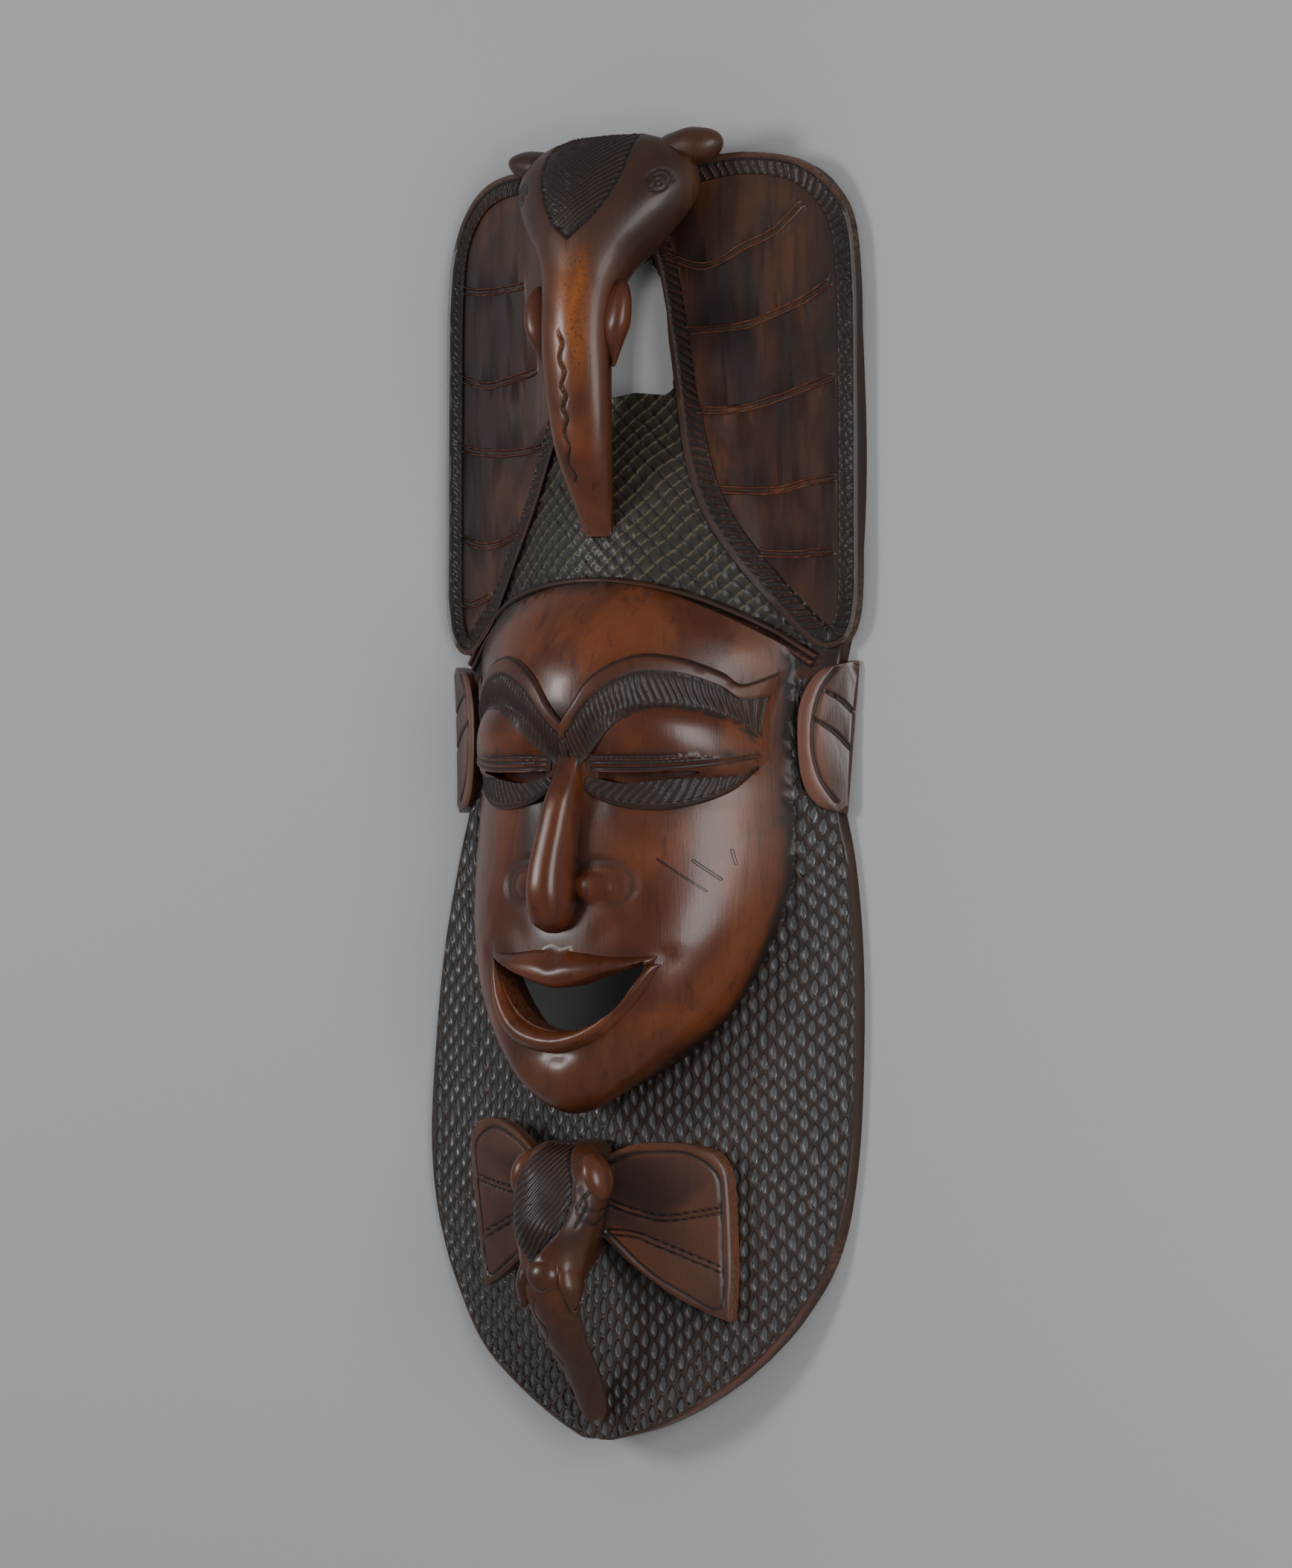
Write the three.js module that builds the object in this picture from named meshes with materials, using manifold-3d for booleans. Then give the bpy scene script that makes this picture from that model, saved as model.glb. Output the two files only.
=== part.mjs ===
// A long carved wooden mask, lying on its back with the face up.
// Millimetres. X runs across the face, Y towards the crown, Z out of the face.
// One block of wood: an arched board with two elephant ears, a hollow face,
// an elephant's head on the crown and a smaller one under the chin.
import * as THREE from 'three';
import { mergeVertices } from 'three/addons/utils/BufferGeometryUtils.js';
import Module from 'manifold-3d';

// Driving sizes
const FRONT_RISE = 30; // how far the board's front bows out
const BACK_RISE = 23; // how far the hollow of its back rises
const RIM_THICK = 7; // thickness of the board at its rim
const LAND = 9; // width of the flat rim that it lies on
const WALL = 13; // wood left behind the face
const HAIR_RISE = 24; // the hair's swell over the board
const BORDER_WIDE = 12; // carved border of the large ears
const BORDER_HIGH = 2.2;
const BROW_HIGH = 3; // how far the brows stand out
const EAR_THICK = 12; // the D-shaped human ears
const EAR_TILT = 0.6; // radians, turned out and back
const SMALL_EAR_THICK = 9; // ears of the lower elephant

const clamp = (v, a, b) => Math.min(b, Math.max(a, v));
const mix = (a, b, t) => a + (b - a) * t;
const ease = (a, b, v) => {
  const t = clamp((v - a) / (b - a), 0, 1);
  return t * t * (3 - 2 * t);
};
const spline = (pairs) => new THREE.SplineCurve(pairs.map(([a, b]) => new THREE.Vector2(a, b)));

// The carver's centre line wanders a little from crown to tip.
const axis = (y) => 4 - 10 * ease(10, -260, y);

// Outline of the board, from the tip under the beard up to the crown.
const rightEdge = spline([
  [0, -396], [30, -387], [62, -371], [92, -349], [120, -319], [142, -280], [153, -228],
  [157, -170], [157, -105], [152, -50], [141, 10], [144, 60], [155, 118], [159, 185],
  [157, 255], [153, 312], [148, 338], [138, 357], [121, 369], [90, 376],
]);
const leftEdge = spline([
  [-24, -396], [-48, -386], [-82, -368], [-112, -347], [-134, -318], [-153, -280], [-161, -228],
  [-158, -165], [-150, -98], [-138, -48], [-121, 10], [-123, 60], [-138, 118], [-145, 185],
  [-145, 255], [-147, 308], [-144, 333], [-134, 351], [-114, 362], [-80, 371],
]);

const span = (x, y) => (x > 0 ? 158 : mix(160, 147, ease(-160, 20, y)));
const bow = (x, y) => Math.max(0, 1 - (Math.abs(x) / (span(x, y) - LAND)) ** 1.6);
const hairSwell = (x, y) => {
  const r = ((x - axis(y)) / 105) ** 2 + ((y - 95) / 150) ** 2;
  return HAIR_RISE * clamp(1 - r, 0, 1) ** 1.2;
};
const boardFront = (x, y) => FRONT_RISE * bow(x, y) + RIM_THICK + hairSwell(x, y);
const boardBack = (x, y) => BACK_RISE * bow(x, y);

// A grid of cells laid on two mapped faces and closed round its four sides.
function slab(columns, rows, place) {
  const geometry = new THREE.BoxGeometry(2, 2, 2, columns, rows, 1);
  const at = geometry.attributes.position;
  for (let i = 0; i < at.count; i += 1) {
    at.setXYZ(i, ...place(at.getX(i), at.getY(i), at.getZ(i)));
  }
  return geometry;
}

// Rings stacked along Y and closed at both ends. Each station holds the ring's
// [Y, middle Z, half-width, height in front of the middle, depth behind it].
function loft(around, along, stations, middleX, pinch = 0, boxy = 1) {
  const curve = (k) => spline(stations.map((station) => [station[0], station[k]]));
  const curves = [1, 2, 3, 4].map(curve);
  const geometry = new THREE.CylinderGeometry(1, 1, 2, around, along);
  const at = geometry.attributes.position;
  for (let i = 0; i < at.count; i += 1) {
    const t = (at.getY(i) + 1) / 2;
    const [z, wide, front, back] = curves.map((one) => one.getPoint(t).y);
    const y = curves[0].getPoint(t).x;
    const side = Math.sign(at.getX(i)) * Math.abs(at.getX(i)) ** boxy;
    const out = Math.sign(at.getZ(i)) * Math.abs(at.getZ(i)) ** boxy;
    const narrow = 1 - pinch * Math.max(0, -out);
    at.setXYZ(i, middleX(y) + wide * side * narrow, y, z + out * (out > 0 ? front : back));
  }
  return geometry;
}

// A raised band that follows a path drawn on a surface. wide may be a function of
// the place along the path, from 0 to 1.
function band(path, rows, wide, high, surface = boardFront, under = 4) {
  return slab(1, rows, (u, v, side) => {
    const t = (v + 1) / 2;
    const middle = path.getPoint(t);
    const along = path.getTangent(t);
    const half = (typeof wide === 'function' ? wide(t) : wide) / 2;
    const reach = u * (side > 0 ? half * 0.8 : half);
    const x = middle.x + along.y * reach;
    const y = middle.y - along.x * reach;
    return [x, y, surface(x, y) + (side > 0 ? high : -under)];
  });
}

// A rounded lump: middle, half sizes and turns about Y and Z.
function lump(middle, half, turnY = 0, turnZ = 0, detail = 8) {
  const geometry = new THREE.SphereGeometry(1, detail, Math.round(detail * 0.6));
  geometry.scale(...half);
  geometry.rotateY(turnY);
  geometry.rotateZ(turnZ);
  return geometry.translate(...middle);
}

const wasm = await Module();
wasm.setup();

function solid(source) {
  const bare = source.clone();
  bare.deleteAttribute('normal');
  bare.deleteAttribute('uv');
  const merged = mergeVertices(bare, 1e-4);
  return new wasm.Manifold(new wasm.Mesh({
    numProp: 3,
    vertProperties: new Float32Array(merged.attributes.position.array),
    triVerts: new Uint32Array(merged.index.array),
  }));
}

// The arched board. The last column on each side is the narrow flat rim.
function board() {
  return slab(16, 36, (u, v, side) => {
    const edge = Math.abs(u) > 0.95;
    const s = edge ? Math.sign(u) : (u * 0.962) / 0.875;
    const left = leftEdge.getPoint((v + 1) / 2);
    const right = rightEdge.getPoint((v + 1) / 2);
    const x = mix(left.x, right.x, (s + 1) / 2);
    const y = mix(left.y, right.y, (s + 1) / 2);
    return [x, y, side > 0 ? boardFront(x, y) - (edge ? 1.5 : 0) : boardBack(x, y)];
  });
}

// The opening through the board between the elephant's ears.
function gap() {
  const shape = new THREE.Shape();
  const side = (mirror) => [[30, 311], [36, 303], [40, 282], [42, 255], [43, 237], [38, 233]]
    .map(([x, y]) => new THREE.Vector2(4 + mirror * (x - 4), y));
  shape.moveTo(4, 316);
  side(1).forEach((corner) => shape.lineTo(corner.x, corner.y));
  shape.lineTo(18, 235);
  shape.lineTo(-8, 231);
  side(-1).reverse().forEach((corner) => shape.lineTo(corner.x, corner.y));
  const prism = new THREE.ExtrudeGeometry(shape, { depth: 140, bevelEnabled: false, curveSegments: 2 });
  return prism.translate(0, 0, -20);
}

// The face is a stack of arched rows from the hairline round to the underside of the chin.
// foot holds each row's half-width and the Y of its two ends, crest the Y and Z of its middle.
const foot = spline([
  [121, 74], [120, 61], [118, 46], [116, 31], [116, 15], [117, -3], [119, -24], [119, -42],
  [115, -66], [107, -88], [97, -112], [83, -136], [64, -156], [44, -170], [24, -181], [8, -187],
]);
const crest = spline([
  [121, 62], [106, 76], [88, 86], [66, 93], [42, 94], [15, 87], [-14, 87], [-42, 88],
  [-70, 89], [-98, 91], [-128, 90], [-158, 88], [-184, 85], [-196, 73], [-196, 56], [-190, 38],
]);

// A point of the smooth face at cross position s and row t; inset moves it inwards.
function facePoint(s, t, inset = 0) {
  const ends = foot.getPoint(t);
  const middle = crest.getPoint(t);
  const shrink = 1 - inset / 150;
  const y = -40 + (mix(middle.x, ends.y, s * s) + 40) * shrink;
  const x = axis(y) + ends.x * shrink * s * (s < 0 ? 1.03 : 1);
  const low = FRONT_RISE * bow(x, y) + RIM_THICK - 5;
  const power = mix(2, 2.5, ease(-20, -150, y));
  const round = mix(1, 1.9, ease(-20, -165, y));
  const rise = Math.max(0, 1 - Math.abs(s) ** power) ** (1 / round);
  return [x, y, low + (middle.y - inset - low) * rise];
}

// Height of the smooth face over a place on the board, found by halving the rows.
function faceFront(x, y) {
  let [upper, lower] = [0, 0.8];
  let point = [0, 0, 0];
  for (let i = 0; i < 18; i += 1) {
    const t = (upper + lower) / 2;
    const s = clamp((x - axis(y)) / foot.getPoint(t).x / (x < axis(y) ? 1.03 : 1), -0.99, 0.99);
    point = facePoint(s, t);
    [upper, lower] = point[1] > y ? [t, lower] : [upper, t];
  }
  return point[2];
}

function face() {
  return slab(20, 26, (u, v, side) => {
    const s = u * (1.2 - 0.2 * u * u);
    const t = (1 - v) / 2;
    const [x, y, z] = facePoint(s, t);
    return [x, y, side > 0 ? z : boardBack(x, y) + 4];
  });
}

// Nose, brows, lids and lips, drawn for both sides of the face at once.
function features() {
  const onFace = (pairs) => spline(pairs.map(([x, y]) => [x + axis(y), y]));
  const swell = (thin, thick) => (t) => mix(thin, thick, Math.sin(Math.PI * t) ** 0.6);
  const nose = loft(10, 9, [
    [-88, 84, 9, 8, 4], [-83, 84, 14, 18, 6], [-75, 84, 16, 23, 8], [-64, 84, 17, 26, 8],
    [-50, 83, 17, 26, 8], [-30, 82, 16, 23, 8], [-10, 82, 14, 19, 8], [10, 82, 12, 15, 8],
    [26, 84, 8, 11, 6], [44, 86, 4, 7, 4],
  ], (y) => axis(y) - 4 * ease(10, -60, y), 0, 0.65);
  const upperLip = onFace([[-54, -103], [-36, -106], [-18, -108], [0, -110], [18, -108], [38, -106], [61, -103]]);
  const lowerLip = onFace([[-53, -104], [-46, -128], [-28, -146], [0, -153], [28, -144], [50, -125], [61, -104]]);
  const pieces = [
    nose,
    band(upperLip, 12, swell(3, 23), 6, faceFront),
    band(lowerLip, 13, swell(5, 13), 5, faceFront),
  ];
  for (const side of [1, -1]) {
    const mirrored = (pairs) => onFace(pairs.map(([x, y]) => [x * side, y]));
    const brow = mirrored([[3, 24], [12, 41], [26, 54], [44, 61], [62, 61], [80, 54], [93, 46], [104, 55]]);
    const rim = mirrored([[19, 12], [45, 12], [72, 13], [98, 17]]);
    pieces.push(
      band(brow, 11, (t) => mix(8, 22, Math.sin(Math.PI * clamp(t * 1.1, 0, 1)) ** 0.8), BROW_HIGH, faceFront),
      band(rim, 5, swell(5, 13), 5, faceFront),
      lump([side * 59 + axis(30), 30, faceFront(59 * side + axis(30), 30) - 1], [36, 17, 6], side * 0.62),
      lump([side * 29 + axis(-62), -62, 86], [15, 13, 9]),
    );
  }
  return pieces;
}

// The open mouth, a crescent between the lips.
function mouth() {
  const shape = new THREE.Shape();
  shape.moveTo(58, -104);
  shape.quadraticCurveTo(44, -148, 0, -147);
  shape.quadraticCurveTo(-42, -148, -51, -104);
  shape.quadraticCurveTo(-28, -112, 0, -121);
  shape.quadraticCurveTo(30, -112, 58, -104);
  const prism = new THREE.ExtrudeGeometry(shape, { depth: 120, bevelEnabled: false, curveSegments: 6 });
  return prism.translate(axis(-120), 0, 20);
}

// The hollow that is cut behind the face.
function hollow() {
  return slab(10, 10, (u, v, side) => {
    const [x, y, z] = facePoint(u * 0.97, (1 - v * 0.86) / 2, WALL);
    return [x, y, side > 0 ? z : -10];
  });
}

// The elephant on the crown, from the free tip of its trunk to the top of its head.
function upperElephant() {
  const head = loft(16, 20, [
    [149, 55, 8, 7, 7], [162, 59, 11, 9, 9], [180, 65, 14.5, 11, 11], [201, 71, 17.5, 13, 13],
    [245, 77, 22, 15, 15], [282, 78, 22, 16, 16], [298, 70, 26, 21, 21], [312, 62, 32, 29, 28],
    [326, 52, 44, 37, 22], [342, 44, 57, 40, 16], [358, 42, 63, 35, 14], [372, 43, 58, 26, 14],
    [383, 45, 45, 15, 12], [389, 46, 26, 6, 6],
  ], () => 4);
  return [
    head,
    lump([58, 383, 37], [24, 7, 10], 0, 0.1),
    lump([-48, 378, 37], [24, 7, 10], 0, 0.12),
    lump([29, 276, 73], [11, 24, 8], -0.5, -0.25),
    lump([-21, 276, 73], [11, 24, 8], 0.5, 0.25),
  ];
}

// The smaller elephant under the chin, from the tip of its trunk up to its crown.
function lowerElephant() {
  const head = loft(14, 20, [
    [-382, 46, 7, 5, 8], [-374, 47, 10, 7, 8], [-356, 56, 12.5, 9, 9], [-334, 73, 15, 9, 9],
    [-317, 83, 17, 10, 10], [-303, 91, 19, 10, 16], [-291, 88, 21, 16, 30], [-277, 86, 24, 19, 46],
    [-262, 84, 28, 24, 46], [-245, 80, 31, 23, 44], [-230, 77, 30, 20, 42], [-220, 74, 26, 14, 38],
    [-214, 70, 18, 6, 30],
  ], () => -5.5, 0.35);
  const neck = lump([-5, -246, 56], [20, 30, 30]);
  return [
    head,
    neck,
    lump([25, -228, 82], [8, 9, 9]),
    lump([-36, -228, 82], [8, 9, 9]),
    lump([16, -294, 97], [7, 14, 8], -0.5, 0.35),
    lump([-27, -294, 97], [7, 14, 8], 0.5, -0.35),
    smallEar(1, -5, 0),
    smallEar(-1, 7, 0.2),
  ];
}

// A fan-shaped ear that slopes out from the head and stands clear of the beard at its rim.
function smallEar(side, lift, lean) {
  const shape = new THREE.Shape();
  shape.moveTo(16, -262);
  shape.lineTo(22, -216);
  shape.quadraticCurveTo(45, -206, 70, -210);
  shape.quadraticCurveTo(88, -214, 90, -240);
  shape.quadraticCurveTo(93, -280, 90, -314);
  shape.quadraticCurveTo(50, -300, 16, -262);
  const bevel = { depth: SMALL_EAR_THICK, bevelEnabled: false, curveSegments: 5 };
  const plate = new THREE.ExtrudeGeometry(shape, bevel);
  const at = plate.attributes.position;
  for (let i = 0; i < at.count; i += 1) {
    const y = at.getY(i);
    const x = at.getX(i) * (1 + lean * ease(-330, -200, y) - lean / 2);
    at.setXYZ(i, x, y + lift, at.getZ(i) + 56 - 0.42 * (x - 20));
  }
  plate.scale(side, 1, 1);
  if (side < 0) {
    flip(plate);
  }
  return plate.translate(-5.5, 0, 0);
}

// Turns a mirrored geometry's triangles the right way round again.
function flip(geometry) {
  const at = geometry.attributes.position;
  for (let i = 0; i < at.count; i += 3) {
    const kept = [at.getX(i), at.getY(i), at.getZ(i)];
    at.setXYZ(i, at.getX(i + 1), at.getY(i + 1), at.getZ(i + 1));
    at.setXYZ(i + 1, ...kept);
  }
}

// The D-shaped human ear, its straight edge outwards.
function humanEar(side) {
  const shape = new THREE.Shape();
  shape.moveTo(19, 45);
  shape.bezierCurveTo(-6, 45, -18, 25, -18, 2);
  shape.bezierCurveTo(-18, -22, -6, -44, 12, -46);
  shape.lineTo(19, 45);
  const plate = new THREE.ExtrudeGeometry(shape, {
    depth: EAR_THICK, bevelEnabled: false, curveSegments: 7,
  });
  plate.translate(0, 0, -EAR_THICK);
  plate.rotateY(EAR_TILT);
  plate.translate(135, 28, 13);
  const at = plate.attributes.position;
  for (let i = 0; i < at.count; i += 1) {
    at.setZ(i, Math.max(0.8, at.getZ(i)));
  }
  plate.scale(side, 1, 1);
  if (side < 0) {
    flip(plate);
  }
  return plate.translate(5, 0, 0);
}

// The raised border round each of the two large ears.
function earBorders() {
  return [1, -1].map((side) => band(spline([
    [52, 364], [88, 369], [122, 362], [144, 338], [150, 300], [151, 240], [153, 165], [152, 105],
    [141, 86], [124, 97], [94, 133], [70, 173], [55, 222], [48, 264], [40, 308], [34, 324],
  ].map(([x, y]) => [6 + side * (x - 6), y])), 26, BORDER_WIDE, BORDER_HIGH));
}

let mask = solid(board());
for (const piece of [...earBorders(), face(), ...features(), humanEar(1), humanEar(-1)]) {
  mask = mask.add(solid(piece));
}
for (const space of [gap(), hollow(), mouth()]) {
  mask = mask.subtract(solid(space));
}
for (const piece of [...upperElephant(), ...lowerElephant()]) {
  mask = mask.add(solid(piece));
}

const result = mask.getMesh();
const geometry = new THREE.BufferGeometry();
geometry.setAttribute('position', new THREE.BufferAttribute(result.vertProperties, 3));
geometry.setIndex(new THREE.BufferAttribute(result.triVerts, 1));
// The origin is under the middle of the mask, on the surface that it lies on.
geometry.computeBoundingBox();
const box = geometry.boundingBox;
geometry.translate(-(box.min.x + box.max.x) / 2, -(box.min.y + box.max.y) / 2, -box.min.z);
geometry.computeVertexNormals();

const wood = new THREE.MeshStandardMaterial({ color: 0x4a2315, roughness: 0.38, metalness: 0 });
const carvedMask = new THREE.Mesh(geometry, wood);
carvedMask.name = 'carved_mask';

const group = new THREE.Group();
group.add(carvedMask);
export default group;
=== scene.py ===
import math

import bmesh
import bpy
import numpy as np
from mathutils import Matrix, Vector
from mathutils.kdtree import KDTree


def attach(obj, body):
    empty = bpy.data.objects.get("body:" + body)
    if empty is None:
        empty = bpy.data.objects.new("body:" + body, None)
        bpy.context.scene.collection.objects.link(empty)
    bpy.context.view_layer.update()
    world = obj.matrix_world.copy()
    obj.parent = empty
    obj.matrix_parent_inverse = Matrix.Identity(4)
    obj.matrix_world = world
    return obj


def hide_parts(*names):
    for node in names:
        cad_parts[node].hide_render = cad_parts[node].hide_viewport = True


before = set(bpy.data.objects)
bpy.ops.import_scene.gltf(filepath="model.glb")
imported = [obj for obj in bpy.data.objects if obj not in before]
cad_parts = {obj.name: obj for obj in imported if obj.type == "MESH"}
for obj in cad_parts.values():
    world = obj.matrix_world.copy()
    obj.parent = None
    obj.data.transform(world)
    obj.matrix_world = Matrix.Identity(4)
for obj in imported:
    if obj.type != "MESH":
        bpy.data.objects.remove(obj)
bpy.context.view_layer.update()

# The carved piece is worked out in the carver's own millimetres: X across the face, Y towards
# the crown, Z out of the face. Its origin lies here in the part's frame.
MM = 0.001
CARVER_ORIGIN = np.array([0.87, 2.98, 0.0])

# Sizes that the piece shares with the solid that it replaces
FRONT_RISE = 30
BACK_RISE = 23
RIM_THICK = 7
LAND = 9
WALL = 13
HAIR_RISE = 24
EAR_THICK = 12
EAR_TILT = 0.6  # the human ears' lean, in radians
SMALL_EAR_THICK = 9
EAR_MIDDLE = 6  # the line that the two large ears mirror about

# The knife's patterns
CELL_WIDE = 11.8
CELL_TALL = 12.6
HAIR_WIDE = 10.6
HAIR_TALL = 10.0
BORDER_WIDE = 13.5
BORDER_PITCH = 5.4
RIB_WIDE = 8.4
HAIRLINE_WIDE = 9.5
BROW_PITCH = 3.5
LID_PITCH = 5.5
PATCH_PITCH = 3.5
LENS_HALF_WIDE = 2.55
LENS_HALF_TALL = 6.1

# The finished mesh
SAME_POINT = 0.02  # points nearer than this become one
FEWEST_POINTS = 200  # a loose bit with fewer goes
MOST_TRIANGLES = 197000
SHARP_EDGE = math.radians(48)


def clamp(v, a=0.0, b=1.0):
    return np.minimum(b, np.maximum(a, v))


def mix(a, b, t):
    return a + (b - a) * t


def ease(a, b, v):
    t = clamp((v - a) / (b - a))
    return t * t * (3 - 2 * t)


def bump(distance, wide):
    """1 on a line, falling off smoothly within about its width."""
    return np.exp(-(distance / wide) ** 2)


def spot(across, up, wide):
    """1 at a point, falling off smoothly within about its width."""
    return bump(np.hypot(across, up), wide)


def comb(phase, thin):
    """1 on every whole number of the phase; thin is the half-width in turns."""
    return bump(phase - np.round(phase), thin)


def sine(v):
    """The sine of an array or of a material's number."""
    return v.math("SINE", v) if isinstance(v, Number) else np.sin(v)


def wobble(x, y, size, seed=0.0):
    """A slow, hand-made unevenness between -1 and 1."""
    a, b = x * (1 / size), y * (1 / size)
    wave = sine(3.1 * a + 1.7 * sine(2.3 * b + seed)) + sine(2.7 * b + 1.9 * sine(1.9 * a - seed))
    return wave * 0.5


def hair_grid(x, y):
    """Where a place lies in the crossing cuts of the hair, in turns along the two families."""
    xw, yw = x + 1.5 * wobble(x, y, 27), y + 1.4 * wobble(y, x, 24, 2)
    return xw * (1 / HAIR_WIDE) + yw * (1 / HAIR_TALL), xw * (1 / HAIR_WIDE) - yw * (1 / HAIR_TALL)


def beard_grid(x, y):
    """The same for the staggered gouges of the beard."""
    xw, yw = x + 1.1 * wobble(x, y, 43, 1), y + 1.6 * wobble(y, x, 31, 3)
    return xw * (1 / CELL_WIDE) + yw * (1 / CELL_TALL), xw * (1 / CELL_WIDE) - yw * (1 / CELL_TALL)


def chance(i, j):
    """The same number from 0 to 1 each time for a cell of a pattern."""
    return np.mod(np.sin(i * 127.1 + j * 311.7) * 43758.5453, 1.0)


class Path:
    """A smooth line through chosen points; at(t) is the place for t from 0 to 1."""

    def __init__(self, *points):
        self.points = np.array(points, float)

    def at(self, t):
        points, last = self.points, len(self.points) - 1
        place = clamp(np.asarray(t, float)) * last
        k = np.minimum(place.astype(int), last - 1)
        w = (place - k)[..., None]
        before, here = points[np.maximum(k - 1, 0)], points[k]
        then, after = points[k + 1], points[np.minimum(k + 2, last)]
        leave, arrive = (then - before) / 2, (after - here) / 2
        cubic = 2 * here - 2 * then + leave + arrive
        square = 3 * then - 3 * here - 2 * leave - arrive
        return ((cubic * w + square) * w + leave) * w + here

    def along(self, t, step=1e-3):
        ahead = self.at(clamp(t + step)) - self.at(clamp(t - step))
        return ahead / np.linalg.norm(ahead, axis=-1, keepdims=True)

    def length(self, t=1.0):
        """Length from the start to each t."""
        steps = np.linspace(0, 1, 400)
        gone = np.linalg.norm(np.diff(self.at(steps), axis=0), axis=1).cumsum()
        return np.interp(t, steps, np.concatenate([[0], gone]))

    def distance(self, x, y, steps=40):
        """How far each place is from the line."""
        line = self.at(np.linspace(0, 1, steps + 1))
        best = np.full(np.shape(x), 1e9)
        for (ax, ay), (bx, by) in zip(line[:-1], line[1:]):
            dx, dy = bx - ax, by - ay
            t = clamp(((x - ax) * dx + (y - ay) * dy) / (dx * dx + dy * dy))
            best = np.minimum(best, np.hypot(x - ax - t * dx, y - ay - t * dy))
        return best

    def moved(self, side=1, middle=0.0, up=0.0):
        """The same line, mirrored about the middle where side is -1."""
        return Path(*[(middle + side * (x - middle), y + up) for x, y in self.points])


def x_at(y, line):
    """Where a line of points, sorted by height, is at the height y."""
    return np.interp(y, line[:, 1], line[:, 0])


def axis(y):
    """The carver's centre line wanders a little from crown to tip."""
    return 4 - 10 * ease(10, -260, y)


# Forms shared with the solid

RIGHT_EDGE = Path(
    (0, -396), (30, -387), (62, -371), (92, -349), (120, -319), (142, -280), (153, -228),
    (157, -170), (157, -105), (152, -50), (141, 10), (144, 60), (155, 118), (159, 185),
    (157, 255), (153, 312), (148, 338), (138, 357), (121, 369), (90, 376))
LEFT_EDGE = Path(
    (-24, -396), (-48, -386), (-82, -368), (-112, -347), (-134, -318), (-153, -280), (-161, -228),
    (-158, -165), (-150, -98), (-138, -48), (-121, 10), (-123, 60), (-138, 118), (-145, 185),
    (-145, 255), (-147, 308), (-144, 333), (-134, 351), (-114, 362), (-80, 371))


def span(x, y):
    return np.where(x > 0, 158.0, mix(160, 147, ease(-160, 20, y)))


def bow(x, y):
    return np.maximum(0, 1 - (np.abs(x) / (span(x, y) - LAND)) ** 1.6)


def board_front(x, y):
    r = ((x - axis(y)) / 105) ** 2 + ((y - 95) / 150) ** 2
    return FRONT_RISE * bow(x, y) + RIM_THICK + HAIR_RISE * clamp(1 - r) ** 1.2


def board_back(x, y):
    return BACK_RISE * bow(x, y)


FOOT = Path(
    (121, 74), (120, 61), (118, 46), (116, 31), (116, 15), (117, -3), (119, -24), (119, -42),
    (115, -66), (107, -88), (97, -112), (83, -136), (64, -156), (44, -170), (24, -181), (8, -187))
CREST = Path(
    (121, 62), (106, 76), (88, 86), (66, 93), (42, 94), (15, 87), (-14, 87), (-42, 88),
    (-70, 89), (-98, 91), (-128, 90), (-158, 88), (-184, 85), (-196, 73), (-196, 56), (-190, 38))


def face_point(s, t, inset=0):
    """A point of the smooth face at cross position s and row t."""
    ends, middle = FOOT.at(t), CREST.at(t)
    shrink = 1 - inset / 150
    y = -40 + (mix(middle[..., 0], ends[..., 1], s * s) + 40) * shrink
    x = axis(y) + ends[..., 0] * shrink * s * np.where(s < 0, 1.03, 1)
    low = FRONT_RISE * bow(x, y) + RIM_THICK - 5
    power = mix(2, 2.5, ease(-20, -150, y))
    roundness = mix(1, 1.9, ease(-20, -165, y))
    rise = np.maximum(0, 1 - np.abs(s) ** power) ** (1 / roundness)
    return x, y, low + (middle[..., 1] - inset - low) * rise


def face_front(x, y):
    """Height of the smooth face over a place on the board, found by halving the rows."""
    upper, lower = np.zeros(np.shape(x)), np.full(np.shape(x), 0.8)
    for _ in range(16):
        t = (upper + lower) / 2
        s = clamp((x - axis(y)) / FOOT.at(t)[..., 0] / np.where(x < axis(y), 1.03, 1), -0.99, 0.99)
        place = face_point(s, t)
        below = place[1] > y
        upper, lower = np.where(below, t, upper), np.where(below, lower, t)
    return place[2]


# Making the closed shapes

GROOVE = 1  # where a finish keeps its depth of cut
carved = []  # points and finish of every shape, from which the joined piece takes its finish


def marks_like(x, tone=0.0, groove=0.0, warm=0.0, cell=0.0):
    """The finish of each point: how stained (on the face and the elephants also painted shade), how far
    down a cut, how worn (below 0 on the hatched patches), and whether under the net of cuts (below 0 on
    pale wood, which on the ribs' ridges is a painted highlight)."""
    return np.stack(np.broadcast_arrays(tone, groove, warm, cell, x)[:4], -1).astype(float)


def linked(name, data):
    """A new object in the scene."""
    obj = bpy.data.objects.new(name, data)
    bpy.context.scene.collection.objects.link(obj)
    return obj


def numbers_of(mesh, kind, name):
    items = getattr(mesh, kind)
    values = np.zeros(len(items) * 3)
    items.foreach_get(name, values)
    return values.reshape(-1, 3)


def volume_of(mesh, points):
    """The volume that the triangles close in; below 0 where they face inwards."""
    corners = np.zeros(len(mesh.polygons) * 3, int)
    mesh.polygons.foreach_get("vertices", corners)
    a, b, c = np.moveaxis(points[corners.reshape(-1, 3)], 1, 0)
    return (np.cross(a, b) * c).sum() / 6


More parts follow.
